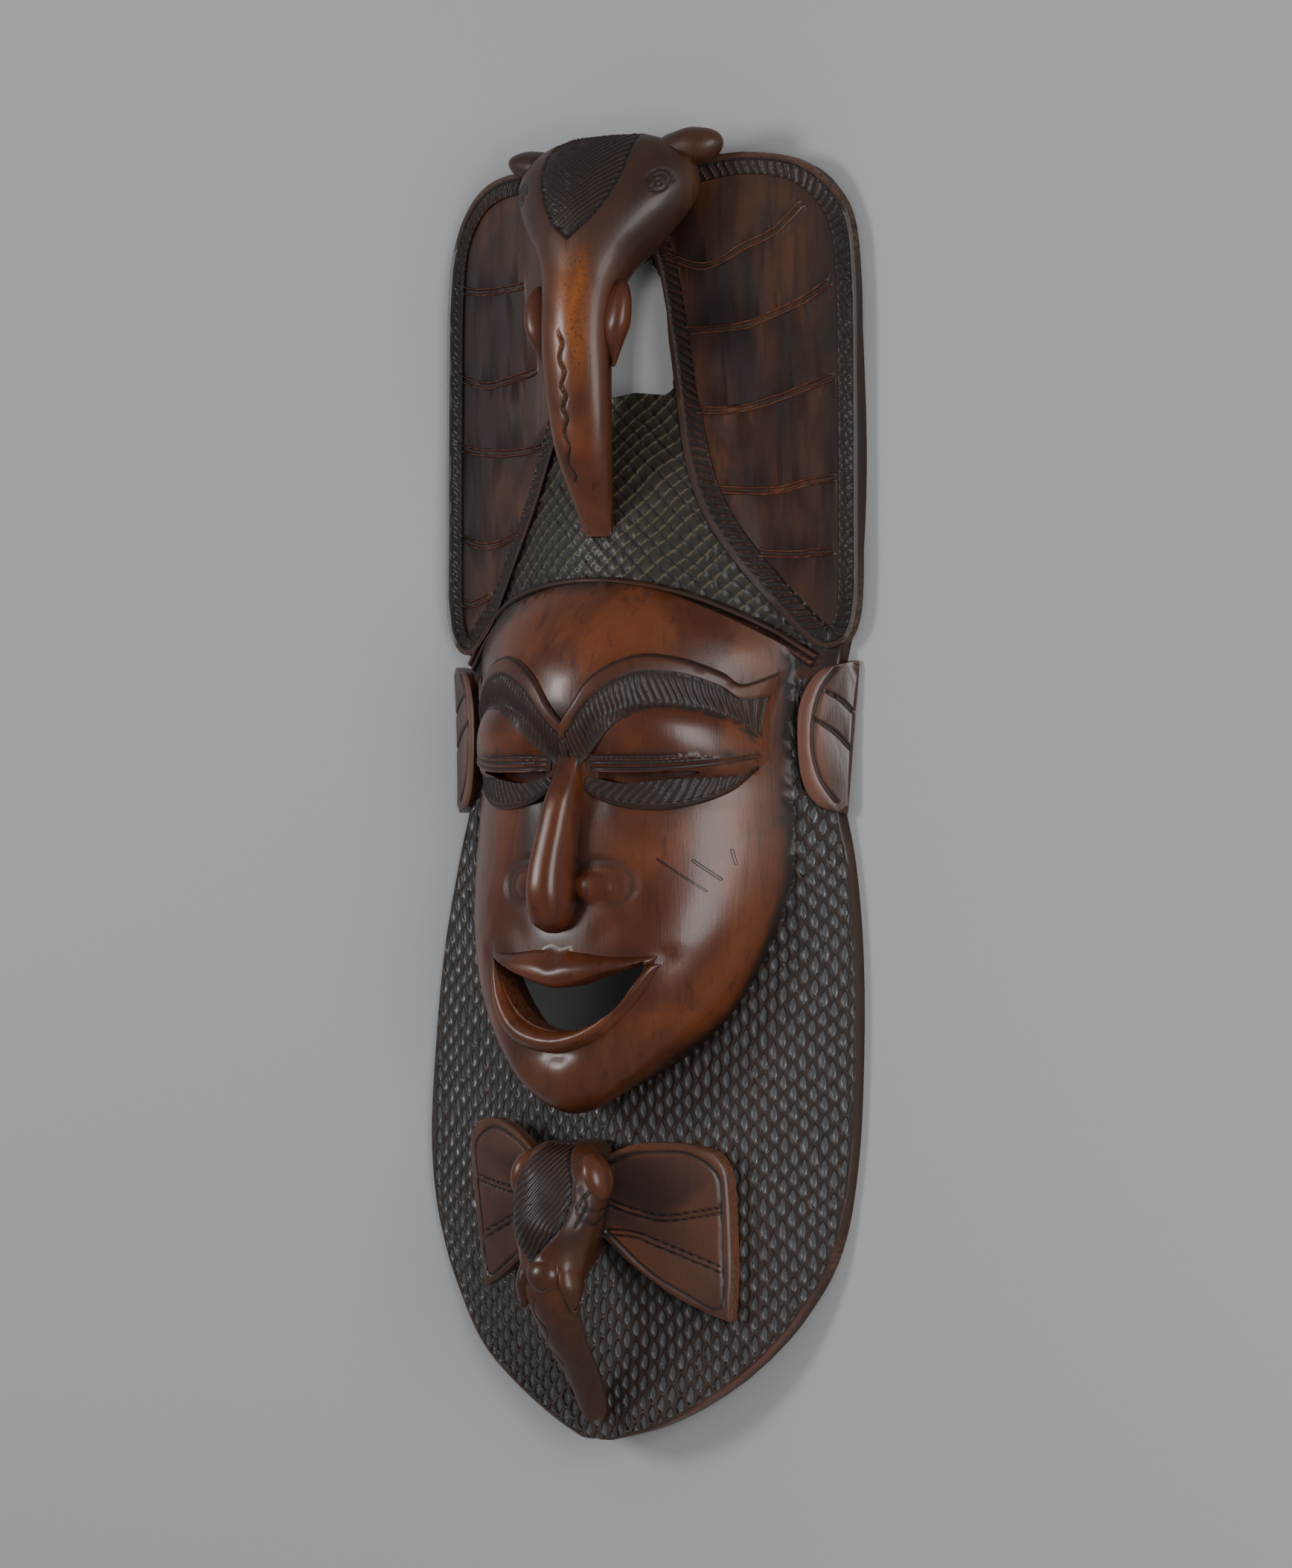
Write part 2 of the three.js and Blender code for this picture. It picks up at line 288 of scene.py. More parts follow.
def shaped(name, bm, place, relief=None, merge=False):
    """Turns a bmesh of plain coordinates into a shape: each point is put in its place, then
    carved. place gives x, y, z and may give the finish as a fourth result."""
    mesh = bpy.data.meshes.new(name)
    bmesh.ops.triangulate(bm, faces=bm.faces[:])
    bm.to_mesh(mesh)
    bm.free()
    placed = place(*numbers_of(mesh, "vertices", "co").T)
    points = np.stack(np.broadcast_arrays(*placed[:3]), 1).astype(float)
    marks = placed[3] if len(placed) > 3 else marks_like(points[:, 0])
    mesh.vertices.foreach_set("co", points.reshape(-1))
    mesh.update()
    if volume_of(mesh, points) < 0:
        mesh.flip_normals()
    if relief:
        normals = numbers_of(mesh, "vertex_normals", "vector")
        height, marks = relief(*points.T, normals)
        points = points + normals * height[:, None]
        mesh.vertices.foreach_set("co", points.reshape(-1))
        mesh.update()
    carved.append((points, marks))
    if merge:
        bm = bmesh.new()
        bm.from_mesh(mesh)
        bmesh.ops.remove_doubles(bm, verts=bm.verts[:], dist=SAME_POINT)
        bm.to_mesh(mesh)
        bm.free()
    return linked(name, mesh)


def raise_copy(bm, faces, height):
    """A second layer of the faces at that height, joined to the first round the edge."""
    made = bmesh.ops.extrude_face_region(bm, geom=faces, use_keep_orig=True)
    raised = [item for item in made["geom"] if isinstance(item, bmesh.types.BMVert)]
    bmesh.ops.translate(bm, vec=(0, 0, height), verts=raised)
    bmesh.ops.recalc_face_normals(bm, faces=bm.faces[:])


def slab(name, columns, rows, place, relief=None, merge=False):
    """A grid of cells laid on two mapped faces and closed round its four sides."""
    bm = bmesh.new()
    bmesh.ops.create_grid(bm, x_segments=columns, y_segments=rows, size=1)
    raise_copy(bm, bm.faces[:], 1)
    return shaped(name, bm, place, relief, merge)


def loft(name, around, along, stations, middle_x, pinch=0.0, boxy=1.0, relief=None):
    """Rings stacked along Y and closed at both ends. Each station holds the ring's
    (Y, middle Z, half-width, height in front of the middle, depth behind it)."""
    bm = bmesh.new()
    wall = [bm.verts.new((1, 0, 2 * k / along - 1)) for k in range(along + 1)]
    edges = [bm.edges.new(pair) for pair in zip(wall[:-1], wall[1:])]
    bmesh.ops.spin(bm, geom=wall + edges, cent=(0, 0, 0), axis=(0, 0, 1), angle=math.tau,
                   steps=around, use_merge=True)
    bmesh.ops.holes_fill(bm, edges=[edge for edge in bm.edges if edge.is_boundary])
    rings = Path(*stations)

    def place(across, out, t):
        y, z, wide, front, back = np.moveaxis(rings.at((t + 1) / 2), -1, 0)
        side = np.sign(across) * np.abs(across) ** boxy
        out = np.sign(out) * np.abs(out) ** boxy
        narrow = 1 - pinch * np.maximum(0, -out)
        return middle_x(y) + wide * side * narrow, y, z + out * np.where(out > 0, front, back)

    bmesh.ops.recalc_face_normals(bm, faces=bm.faces[:])
    return shaped(name, bm, place, relief)


def lump(name, middle, half, turn_y=0.0, turn_z=0.0, detail=30, relief=None):
    """A rounded lump: middle, half sizes and turns about Y and Z."""
    bm = bmesh.new()
    bmesh.ops.create_uvsphere(bm, u_segments=detail, v_segments=detail * 2 // 3, radius=1)
    turn = Matrix.Rotation(turn_z, 4, "Z") @ Matrix.Rotation(turn_y, 4, "Y")
    bmesh.ops.transform(bm, verts=bm.verts[:], matrix=turn @ Matrix.Diagonal((*half, 1)))
    bmesh.ops.translate(bm, verts=bm.verts[:], vec=middle)
    return shaped(name, bm, lambda x, y, z: (x, y, z), relief)


def prism(name, outline, low, high):
    """A straight-sided block to cut with, from its outline."""
    bm = bmesh.new()
    bm.faces.new([bm.verts.new((x, y, low)) for x, y in outline])
    raise_copy(bm, bm.faces[:], high - low)
    piece = shaped(name, bm, lambda x, y, z: (x, y, z))
    carved.pop()
    return piece


def ribbon(name, columns, rows, way, surface, profile, under=3.0, back=0.96):
    """A low carved strip on a surface. way(u, t) gives its places across and along, and
    profile(u, t, x, y) how far it stands out there, with its finish."""
    def place(u, v, side):
        t = (v + 1) / 2
        x, y = way(np.where(side > 0.5, u * back, u), t)
        height, marks = profile(u, t, x, y)
        return x, y, surface(x, y) + np.where(side > 0.5, height, -under), marks

    return slab(name, columns, rows, place)


def along_path(path, wide):
    """The places of a strip of that width, its u = 1 on the right of the way it runs."""
    def way(u, t):
        middle, forward = path.at(t), path.along(t)
        reach = u * wide / 2
        return middle[..., 0] + forward[..., 1] * reach, middle[..., 1] - forward[..., 0] * reach
    return way


def between(low, high):
    """The places of a strip between two lines, its u = -1 on the first."""
    def way(u, t):
        a, b = low.at(t), high.at(t)
        across = ((u + 1) / 2)[..., None]
        place = mix(a, b, across)
        return place[..., 0], place[..., 1]
    return way


# The board: large ears, hair and beard

HAIR_EDGE = np.array([
    (142, 81), (134, 92), (116, 112), (98, 130), (70, 166), (55, 202), (42, 233), (36, 320)])


def scales(x, y):
    """The hair: crossing cuts, deep on one side of each lozenge."""
    p, q = hair_grid(x, y)
    a, b = np.mod(p, 1), np.mod(q, 1)
    i, j = np.floor(p), np.floor(q)
    cut = 0.9 + 0.4 * chance(i, j)
    slope = (1 - a) ** 1.3 * (1 - bump(np.minimum(b, 1 - b), 0.16))
    return -cut * slope + 0.45 * bump(np.minimum(b, 1 - b), 0.1)


def lozenges(x, y):
    """The beard: lens-shaped gouges in staggered rows."""
    p, q = beard_grid(x, y)
    i, j = np.floor(p), np.floor(q)
    a, b = p - i - 0.5, q - j - 0.5
    across, up = (a + b) / 2 * CELL_WIDE, (a - b) / 2 * CELL_TALL
    luck = chance(i, j)
    lens = np.abs(across) / LENS_HALF_WIDE + (up / LENS_HALF_TALL) ** 2
    inside = ease(1.0, 0.6, lens)
    depth = (1.0 + 0.5 * luck) * inside
    tilt = (chance(i + 3, j) - 0.35) * 0.16 * across + 0.05 * up
    return -depth + tilt * inside


EDGE_STEPS = np.linspace(0, 1, 260)
EDGE_LEFT, EDGE_RIGHT = LEFT_EDGE.at(EDGE_STEPS), RIGHT_EDGE.at(EDGE_STEPS)


def edge_distance(x, y):
    """Roughly how far a place is inside the board's outline."""
    lean = np.interp(y, [-396, -340, -280, -200], [0.45, 0.65, 0.9, 1.0])
    return np.minimum(x - x_at(y, EDGE_LEFT), x_at(y, EDGE_RIGHT) - x) * lean


def board_relief(x, y, z, normals):
    off = np.abs(x - EAR_MIDDLE)
    inner = x_at(y, HAIR_EDGE)
    front = normals[:, 2] > 0.3
    rim = edge_distance(x, y)
    hair = ease(0, 2.5, inner - off) * ease(76, 82, y)
    beard = ease(66, 58, y)
    inset = ease(2.2, 4.0, rim)
    scale_height, lens_height = scales(x, y), lozenges(x, y)
    net_height = mix(lens_height, scale_height, ease(60, 80, y))
    net = np.maximum(hair, beard) * inset
    panel = ease(0, 3, off - inner) * ease(86, 92, y)
    tools = 0.16 * wobble(x * 5, y * 0.7, 60) * panel
    round_off = -1.6 * clamp(1 - rim / 3.0) ** 2
    height = np.where(front, net_height * net + tools + round_off, 0)
    # the plain back keeps the marks of the adze
    adze = -0.35 * np.abs(wobble(x * 3.1, y * 1.9, 55, 4)) * ease(1, 8, z)
    height = np.where(normals[:, 2] < -0.3, adze, height)
    worn_rim = ease(2.6, 1.2, rim) * front
    tone = np.where(front, mix(0.42, 1, np.maximum(hair, beard)) * (1 - 0.6 * worn_rim), 0.6)
    return height, marks_like(x, tone, 0, 0, np.where(front, net - 0.7 * worn_rim, 0))


def make_board():
    def place(u, v, side):
        left, right = LEFT_EDGE.at((v + 1) / 2), RIGHT_EDGE.at((v + 1) / 2)
        x = mix(left[:, 0], right[:, 0], (u + 1) / 2)
        y = mix(left[:, 1], right[:, 1], (u + 1) / 2)
        return x, y, np.where(side > 0.5, board_front(x, y), board_back(x, y))
    return slab("board", 216, 520, place, board_relief)


BORDER = Path(
    (52, 364), (88, 369), (122, 362), (144, 338), (150.5, 300), (151.5, 240), (152, 165), (151, 105),
    (141, 87), (124, 97), (94, 133), (70, 173), (55, 222), (48, 264), (40, 308), (34, 324))


def make_borders():
    """The rope-like border round each large ear, hatched along its inner two thirds."""
    pieces = []
    for side in (1, -1):
        path = BORDER.moved(side, EAR_MIDDLE)

        def profile(u, t, x, y, side=side, path=path):
            inwards = u * side  # 1 beside the ear's panel
            lean = mix(0.55, -0.75, ease(0.5, 0.58, t))
            gone = path.length(t) / BORDER_PITCH
            phase = gone - lean * (inwards - 0.2) * 1.1 + 0.12 * wobble(x, y, 9)
            hatch = ease(-0.42, -0.32, inwards) * ease(1.0, 0.9, inwards)
            teeth = comb(phase, 0.17)
            groove = bump(inwards + 0.4, 0.07) + bump(inwards - 0.97, 0.06)
            height = 1.9 + 0.3 * (1 - hatch) - 1.2 * hatch * (1 - teeth) - 0.9 * groove
            return height, marks_like(x, 0.78, clamp(hatch * (1 - teeth) * 0.8 + groove))

        pieces.append(ribbon(
            "border", 13, 660, along_path(path, BORDER_WIDE), board_front, profile, under=4))
    return pieces


RIGHT_RIBS = [
    Path((37, 317), (64, 309), (89, 320), (107, 328), (124, 344)),
    Path((46, 271), (84, 272), (107, 279), (125, 287), (140, 297)),
    Path((59, 223), (84, 223), (103, 227), (121, 233), (143, 241)),
    Path((76, 175), (107, 174), (125, 178), (143, 181)),
    Path((98, 137), (120, 136), (142, 138)),
]
LEFT_RIBS = [
    Path((-140, 312), (-131, 308), (-108, 305), (-72, 306)),
    Path((-139, 255), (-121, 249), (-101, 247), (-60, 253)),
    Path((-139, 211), (-115, 206), (-79, 204), (-48, 207)),
    Path((-136, 154), (-121, 149), (-101, 148), (-68, 155)),
    Path((-133, 113), (-124, 112), (-108, 116)),
]


def make_ribs():
    """Each rib of a large ear is a pair of thin ridges."""
    def profile(u, t, x, y):
        off = np.abs(u * RIB_WIDE / 2 + 0.3 * wobble(x, y, 8))
        ridge = bump(off - 1.9, 0.6)
        groove = bump(off, 1.0) + 0.7 * bump(off - 3.4, 0.7)
        ends = ease(0, 0.04, t) * ease(1, 0.96, t)
        fade = ease(4.2, 3.4, off) * ends
        height = (1.7 * ridge - 0.5 * groove + 0.3) * fade - 0.25
        # the ridges are painted paler and less stained: a painted highlight
        ridge_highlight = ridge * fade
        return height, marks_like(x, 0.42 - 0.3 * ridge_highlight, clamp(groove * fade * 0.85), 0, -ridge_highlight)

    return [ribbon("rib", 20, 80, along_path(path, RIB_WIDE), board_front, profile, under=3)
            for path in RIGHT_RIBS + LEFT_RIBS]


def make_hairline():
    """The double fillet between hair and forehead."""
    arc = Path((-124, 73), (-99, 100), (-64, 113), (0, 119.5), (51, 113), (91, 97), (131, 73))

    def profile(u, t, x, y):
        off = np.abs(u)
        shape = 1.5 + 1.3 * bump(off - 0.5, 0.26) - 1.2 * bump(u, 0.14) - 1.5 * ease(0.85, 1, off)
        return shape, marks_like(x, 0.75, clamp(bump(u, 0.2) + ease(0.85, 1, off)))

    return [ribbon("hairline", 10, 170, along_path(arc, HAIRLINE_WIDE), board_front, profile, under=4)]


# The face

def eye_dome(x, y):
    """How far the closed lids swell out of the smooth face."""
    inner = np.abs(x - axis(y))
    swell = clamp(1 - ((inner - 59) / 45) ** 2 - ((y - 20) / 27) ** 2)
    return 6.5 * swell ** 0.7 * ease(2, 8, y)


def lid_surface(x, y):
    return face_front(x, y) + eye_dome(x, y)


def face_relief(x, y, z, normals):
    inner = x - axis(y)
    far = np.abs(inner + 1)
    tools = 0.10 * wobble(x * 1.4, y * 2.2, 30, 5)
    dimple = spot(inner - 66, y + 101, 6) + spot(inner + 60, y + 101, 6)
    socket = bump(far - 20, 8) * bump(y - 6, 24) + 0.7 * bump(y + 6, 9) * bump(far - 55, 40)
    crease = bump(np.hypot((far - 25) / 1.45, y + 60) - 14.5, 2.6) * ease(-78, -66, y)
    smile = bump((y + 88) - 0.5 * (far - 30), 8) * ease(18, 32, far) * ease(66, 44, far)
    chin = spot(inner - 3, (y + 174) * 1.15, 17)
    under_lip = spot(inner * 0.42, y + 160, 5)
    front = normals[:, 2] > 0.1
    height = tools - 1.2 * dimple - 2.6 * socket - 1.6 * crease - 0.7 * smile
    height = height + 2.6 * chin - 2.0 * under_lip
    over_board = z - board_front(x, y)
    # dark is painted shade: in the cheek creases, under the lower lip, at the inner eye corners, between
    # nose and lip, beside the nose, where the face sits low over the board, and at the outer eye corners
    dark = 0.55 * crease + 0.25 * under_lip + 0.3 * bump(far - 19, 7) * bump(y - 4, 18)
    dark = dark + 0.4 * spot(inner * 0.45, y + 96, 10) + 0.3 * ease(26, 4, over_board)
    dark = dark + 0.3 * spot((far - 22) * 0.8, y + 30, 22)
    dark = dark + 0.35 * spot(far - 88, y - 14, 14)
    # foot is painted shade where the face meets the board, laid into the tone and the groove
    foot = ease(6, 1.5, over_board) * front
    return (height + eye_dome(x, y)) * front, marks_like(x, clamp(0.9 * dark + foot), 0.5 * foot)


def make_face():
    def place(u, v, side):
        x, y, z = face_point(u * (1.2 - 0.2 * u * u), (1 - v) / 2)
        return x, y, np.where(side > 0.5, z, board_back(x, y) + 4)
    return slab("face", 150, 180, place, face_relief)


def on_face(path, side=1):
    """A line given from the face's own centre line."""
    return Path(*[(side * x + axis(y), y) for x, y in path.points])


def face_strip(name, columns, rows, lines, side, surface, profile):
    """A carved strip between two lines that are given from the face's centre line."""
    low, high = (on_face(line, side) for line in lines)
    return ribbon(name, columns, rows, between(low, high), surface, profile, under=4, back=1)


def make_nose():
    stations = [
        (-89, 84, 7, 6, 4), (-84, 84, 12, 17, 6), (-76, 84, 14, 23, 8), (-64, 84, 14.5, 26, 8),
        (-50, 83, 14, 26, 8), (-30, 82, 13, 23, 8), (-10, 82, 11.5, 19, 8), (4, 82, 10, 13, 8),
        (16, 83, 8, 6, 6), (26, 83, 6, 1, 4), (32, 80, 5, 1, 3)]
    pieces = [loft("nose", 64, 90, stations, lambda y: axis(y) - 5 * ease(10, -50, y), boxy=0.75)]
    for side in (1, -1):
        middle = (side * 23 + axis(-60) - 2, -61, 77)
        pieces.append(lump("wing", middle, (21, 13.5, 13), side * 0.35, detail=50))
    return pieces


UPPER_LIP = (Path((-54, -109), (-36, -113), (-20, -118), (0, -122), (21, -118), (38, -112), (60, -106)),
             Path((-54, -101), (-36, -101), (-18, -99), (0, -98.5), (18, -100), (38, -102), (62, -101)))
LOWER_LIP = (Path((-55, -108), (-52, -134), (-34, -154), (0, -160), (30, -150), (52, -128), (64, -106)),
             Path((-51, -106), (-42, -126), (-26, -141), (0, -147), (26, -140), (44, -124), (58, -106)))


def make_lips():
    def upper(u, t, x, y):
        full = np.sin(np.pi * t) ** 0.5
        rise = 9.0 * clamp(1 - np.abs(u + 0.25 * (1 - u * u)) ** 2.6) * full + 0.3
        bow_dip = 2.4 * bump(t - 0.49, 0.045) * ease(-0.4, 0.8, u)
        return rise - bow_dip, marks_like(x, 0.2)

    def lower(u, t, x, y):
        full = np.sin(np.pi * t) ** 0.5
        return (7.5 * clamp(1 - np.abs(u) ** 2.2) * full + 0.3), marks_like(x, 0.08)

    return [face_strip("lip", 20, 90, line, 1, face_front, shape)
            for line, shape in ((UPPER_LIP, upper), (LOWER_LIP, lower))]


BROW = (Path((-3, 5), (12, 14), (24, 24), (37, 36), (55, 45), (74, 44), (89, 38), (96, 31), (100, 22)),
        Path((-2, 35), (8, 47), (20, 63), (35, 73), (50, 77), (69, 74), (86, 66), (95, 59), (109, 66)))
LID_RIM = (Path((14, 8), (36, 7), (60, 7.5), (82, 10), (102, 15)),
           Path((13, 17.5), (36, 18), (60, 18), (82, 19.5), (101, 20)))
LOWER_LID = (Path((13, -4), (26, -11), (46, -15), (69, -14), (89, -5), (101, 9)),
             Path((13, 4), (36, 2), (60, 2.5), (82, 5.5), (101, 12)))


def make_brows_and_lids():
    def brow(u, t, x, y):
        hatched = ease(0.34, 0.26, u)
        phase = BROW[0].length(t) / BROW_PITCH + 0.5 * u + 0.18 * wobble(x, y, 11)
        teeth = comb(phase, 0.2)
        lines = bump(u - 0.34, 0.05) + bump(u - 0.93, 0.05)
        rise = mix(0.4, 3.2, ease(-1, 0.1, u)) * ease(1.06, 0.93, u)
        height = rise - 0.8 * hatched * (1 - teeth) * ease(-1, -0.7, u) - 1.0 * lines
        groove = clamp(hatched * (1 - teeth) * 0.75 + lines)
        return height, marks_like(x, mix(0.45, 0.8, hatched), groove)

    def rim(u, t, x, y):
        rows = comb((u + 1) * 1.5, 0.22)
        twist = 0.4 * comb(LID_RIM[0].length(t) / 3.0 + 0.7 * u, 0.25) * ease(-0.5, 0.2, u)
        full = ease(0, 0.12, t) * ease(1.04, 0.95, t)
        height = (mix(3.4, 1.0, ease(-0.9, 1, u)) + 1.0 * rows + twist) * full
        return height - 0.4, marks_like(x, 0.3 + 0.3 * (1 - rows), clamp((1 - rows) * 0.8))

    def lower_lid(u, t, x, y):
        hatched = ease(-0.62, -0.55, u)
        phase = LOWER_LID[0].length(t) / LID_PITCH - 0.85 * u + 0.12 * wobble(x, y, 9)
        teeth = comb(phase, 0.16)
        double = bump(u + 0.62, 0.09) + bump(u + 0.93, 0.07)
        height = 0.5 + 0.9 * double + 0.8 * hatched * teeth
        dark = clamp(1 - teeth) * hatched + (1 - hatched) * clamp(1 - double)
        return height, marks_like(x, 0.8, clamp(dark * 0.85))

    pieces = []
    for side in (1, -1):
        pieces.append(face_strip("brow", 24, 230, BROW, side, lid_surface, brow))
        pieces.append(face_strip("lid_rim", 24, 120, LID_RIM, side, lid_surface, rim))
        pieces.append(face_strip("lower_lid", 24, 130, LOWER_LID, side, face_front, lower_lid))
    return pieces


def make_human_ear(side):
    """A D-shaped ear, its straight edge outwards, with a line cut round its panel."""
    curve = Path((12, -46), (-5, -41), (-15, -26), (-18, 2), (-15, 24), (-3, 40), (19, 45))
    arcs = [Path((139, 55), (146, 50), (152, 43)), Path((134, 38), (143, 31), (151, 21))]
    ring = Path((144, 68), (137, 56), (133, 38), (133, 18), (137, 2), (144, -10))

    def place(u, v, thick):
        t = (v + 1) / 2
        round_side = curve.at(t)
        straight = np.stack([mix(12, 19, t), mix(-46, 45, t)], -1)
        local = mix(round_side, straight, ((u + 1) / 2)[:, None])
        z = np.where(thick > 0.5, 0.0, -EAR_THICK)
        z = z - 1.2 * ease(0.86, 1, np.maximum(np.abs(u), np.abs(v))) * (thick > 0.5)
        x = local[:, 0] * math.cos(EAR_TILT) + z * math.sin(EAR_TILT) + 135
        z = -local[:, 0] * math.sin(EAR_TILT) + z * math.cos(EAR_TILT) + 13
        return side * x + 5, local[:, 1] + 28, np.maximum(0.8, z)

    def relief(x, y, z, normals):
        outward = (x - 5) * side
        lines = sum(bump(arc.distance(outward + 5, y, 10), 0.9) for arc in arcs)
        lines = lines + bump(ring.distance(outward + 5, y, 16), 1.0)
        lines = lines * (normals[:, 2] > 0.3)
        return -1.0 * lines, marks_like(x, 0, clamp(lines), 0, -0.8)

    return slab("human_ear", 60, 110, place, relief, merge=True)


# The two elephants

PATCH_LEFT = Path((-30, 378), (-28, 364), (-19, 349), (-8, 334), (5, 324))
PATCH_RIGHT = Path((31, 386), (32, 366), (27, 348), (17, 334), (5, 324))
WAVY = Path((3, 268), (4, 244), (3, 220), (1, 201), (1, 179), (8, 155))


def inside_patch(x, y, left, right):
    """1 between a patch's left and right lines."""
    inside = 1.0
    for path, way in ((left, 1), (right, -1)):
        line = path.at(np.linspace(0, 1, 60))
        line = line[np.argsort(line[:, 1])]
        inside = inside * ease(-0.6, 0.6, way * (x - x_at(y, line)))
    return inside


def leaf(name, middle, half, turn_y, turn_z, tip=0.75):
    """A lump that narrows to a point at its lower end."""
    def taper(x, y, z, normals):
        away = (y - middle[1]) / half[1]
        narrow = tip * clamp(-away) ** 1.2
        return -narrow * np.hypot(x - middle[0], z - middle[2]), marks_like(x, 0.2)
    return lump(name, middle, half, turn_y, turn_z, detail=40, relief=taper)


def carved_eye(x, y, middle, size):
    """Two rings and a brow line, cut round a small eye."""
    dx, dy = (x - middle[0]) / size, (y - middle[1]) / size / 1.25
    away = np.hypot(dx, dy)
    brow_line = bump(away - 1.9, 0.22) * ease(-0.2, 0.5, dy)
    return bump(away - 1.2, 0.22) + 0.8 * bump(away - 0.45, 0.2) + brow_line


def upper_strokes(x, y):
    """The height of the strokes on the upper elephant's forehead, bowed upwards."""
    off = x - 34
    return y - 0.42 * x + 0.006 * (off * off) + 0.8 * wobble(x, y, 13)


def lower_strokes(x, y):
    """The same on the lower elephant's."""
    off = x + 30
    return 0.62 * y - 0.36 * x - 0.010 * (off * off) + 0.5 * wobble(x, y, 9)


def upper_relief(x, y, z, normals):
    front = ease(-0.1, 0.25, normals[:, 2])
    inside = inside_patch(x, y, PATCH_LEFT, PATCH_RIGHT) * ease(323, 327, y) * front
    teeth = comb(upper_strokes(x, y) / PATCH_PITCH, 0.24)
    line = (bump(PATCH_LEFT.distance(x, y), 0.8) + bump(PATCH_RIGHT.distance(x, y), 0.8)) * front
    across = x - x_at(y, WAVY.points[::-1])
    squiggle = bump(across - 1.6 * np.sin(y / 2.4 + 0.6 * np.sin(y / 9)), 1.0)
    squiggle = squiggle * ease(176, 182, y) * ease(272, 264, y) * front
    eyes = carved_eye(x, y, (54, 356), 3.4) + carved_eye(x, y, (-46, 354), 3.4)
    eyes = eyes * ease(0.0, 0.2, normals[:, 2])
    height = -0.75 * inside * (1 - teeth) - 0.6 * line - 1.2 * squiggle - 0.8 * eyes
    height = height + 0.12 * wobble(x * 2, y, 25, 6)
    worn = ease(17, 5, np.abs(x - 10)) * ease(225, 268, y) * ease(330, 312, y) * front
    worn = worn * (0.75 + 0.25 * wobble(x * 6, y * 1.5, 30, 8))
    groove = clamp(0.6 * line + squiggle + 0.8 * eyes)
    # darker towards the crown, and darker on the right side as painted shade
    tone_and_side_shade = 0.38 * ease(190, 330, y) * (1 - clamp(worn)) + 0.2 * ease(12, 24, x)
    warm = np.where(inside > 0.5, -inside, clamp(worn))
    return height, marks_like(x, np.maximum(0.8 * inside, tone_and_side_shade), groove, warm)


def knob_relief(x, y, z, normals):
    return 0.4 * wobble(x * 2, y * 2, 20), marks_like(x, 0.7)


def make_upper_elephant():
    head = loft("upper_elephant", 170, 260, [
        (148, 54, 9, 7.5, 7), (160, 58, 11.5, 9, 9), (180, 65, 15.5, 11, 11), (201, 71, 19, 13, 13),
        (225, 75, 21.5, 14, 14), (250, 77, 23, 15.5, 15), (272, 77, 23.5, 17, 16), (290, 73, 25.5, 20, 19),
        (304, 67, 29, 24, 24), (316, 58, 37, 32, 26), (330, 49.5, 49.5, 38.5, 20), (344, 44, 59.5, 40, 16),
        (358, 42, 64, 35, 14), (372, 43, 60, 26, 14),
        (383, 45, 45, 15, 12), (389, 46, 26, 6, 6)], lambda y: 4, relief=upper_relief)
    return [
        head,
        lump("knob", (56, 379, 37), (25, 12, 13), 0, 0.12, relief=knob_relief),
        lump("knob", (-50, 375, 38), (25, 10, 12), 0, -0.2, relief=knob_relief),
        *[leaf("flap", (4 + side * 26, 272, 74), (12, 27, 8), -0.6 * side, -0.2 * side)
          for side in (1, -1)],
    ]


LOW_MIDDLE = -5.5  # the line that the lower elephant mirrors about
LOW_PATCH_LEFT = Path((-18, -218), (-28, -232), (-31, -250), (-26, -268), (-12, -284))
LOW_PATCH_RIGHT = Path((3, -216), (13, -234), (14, -252), (8, -266), (-12, -284))
LOW_EYE = [Path((17, -238), (22, -248), (18, -262)), Path((23, -240), (18, -250), (23, -261)),
           Path((15, -246), (20, -251), (26, -253))]


def lower_relief(x, y, z, normals):
    front = ease(-0.1, 0.25, normals[:, 2])
    inside = inside_patch(x, y, LOW_PATCH_LEFT, LOW_PATCH_RIGHT) * ease(-285, -280, y) * front
    teeth = comb(lower_strokes(x, y) / PATCH_PITCH, 0.26)
    line = bump(LOW_PATCH_RIGHT.distance(x, y), 0.8) * front
    creases = [path.moved(side, LOW_MIDDLE) for path in LOW_EYE for side in (1, -1)]
    eyes = sum(bump(path.distance(x, y, 12), 0.8) for path in creases)
    eyes = eyes + 1.2 * spot(x - 22, y + 221, 3.4)
    across = x + 14 + 3.0 * np.sin(y / 3.4)
    squiggle = bump(across, 0.9) * ease(-352, -346, y) * ease(-300, -306, y) * front
    height = -0.8 * inside * (1 - teeth) - 0.5 * line - 0.6 * eyes - 0.6 * squiggle
    groove = clamp(0.6 * line + 0.8 * eyes + 0.7 * squiggle)
    warm = ease(-268, -290, y) * ease(-330, -300, y) * 0.5 * (0.6 + 0.4 * wobble(x * 3, y, 30, 2))
    # a little darker overall, darker on the right side as painted shade, and darker towards the trunk's
    # tip
    tone_and_side_shade = clamp(0.12 + 0.33 * ease(2, 14, x) + 0.35 * ease(-315, -360, y))
    warm = np.where(inside > 0.5, -inside, clamp(warm))
    return height, marks_like(x, mix(tone_and_side_shade, 0.7, inside), groove, warm)


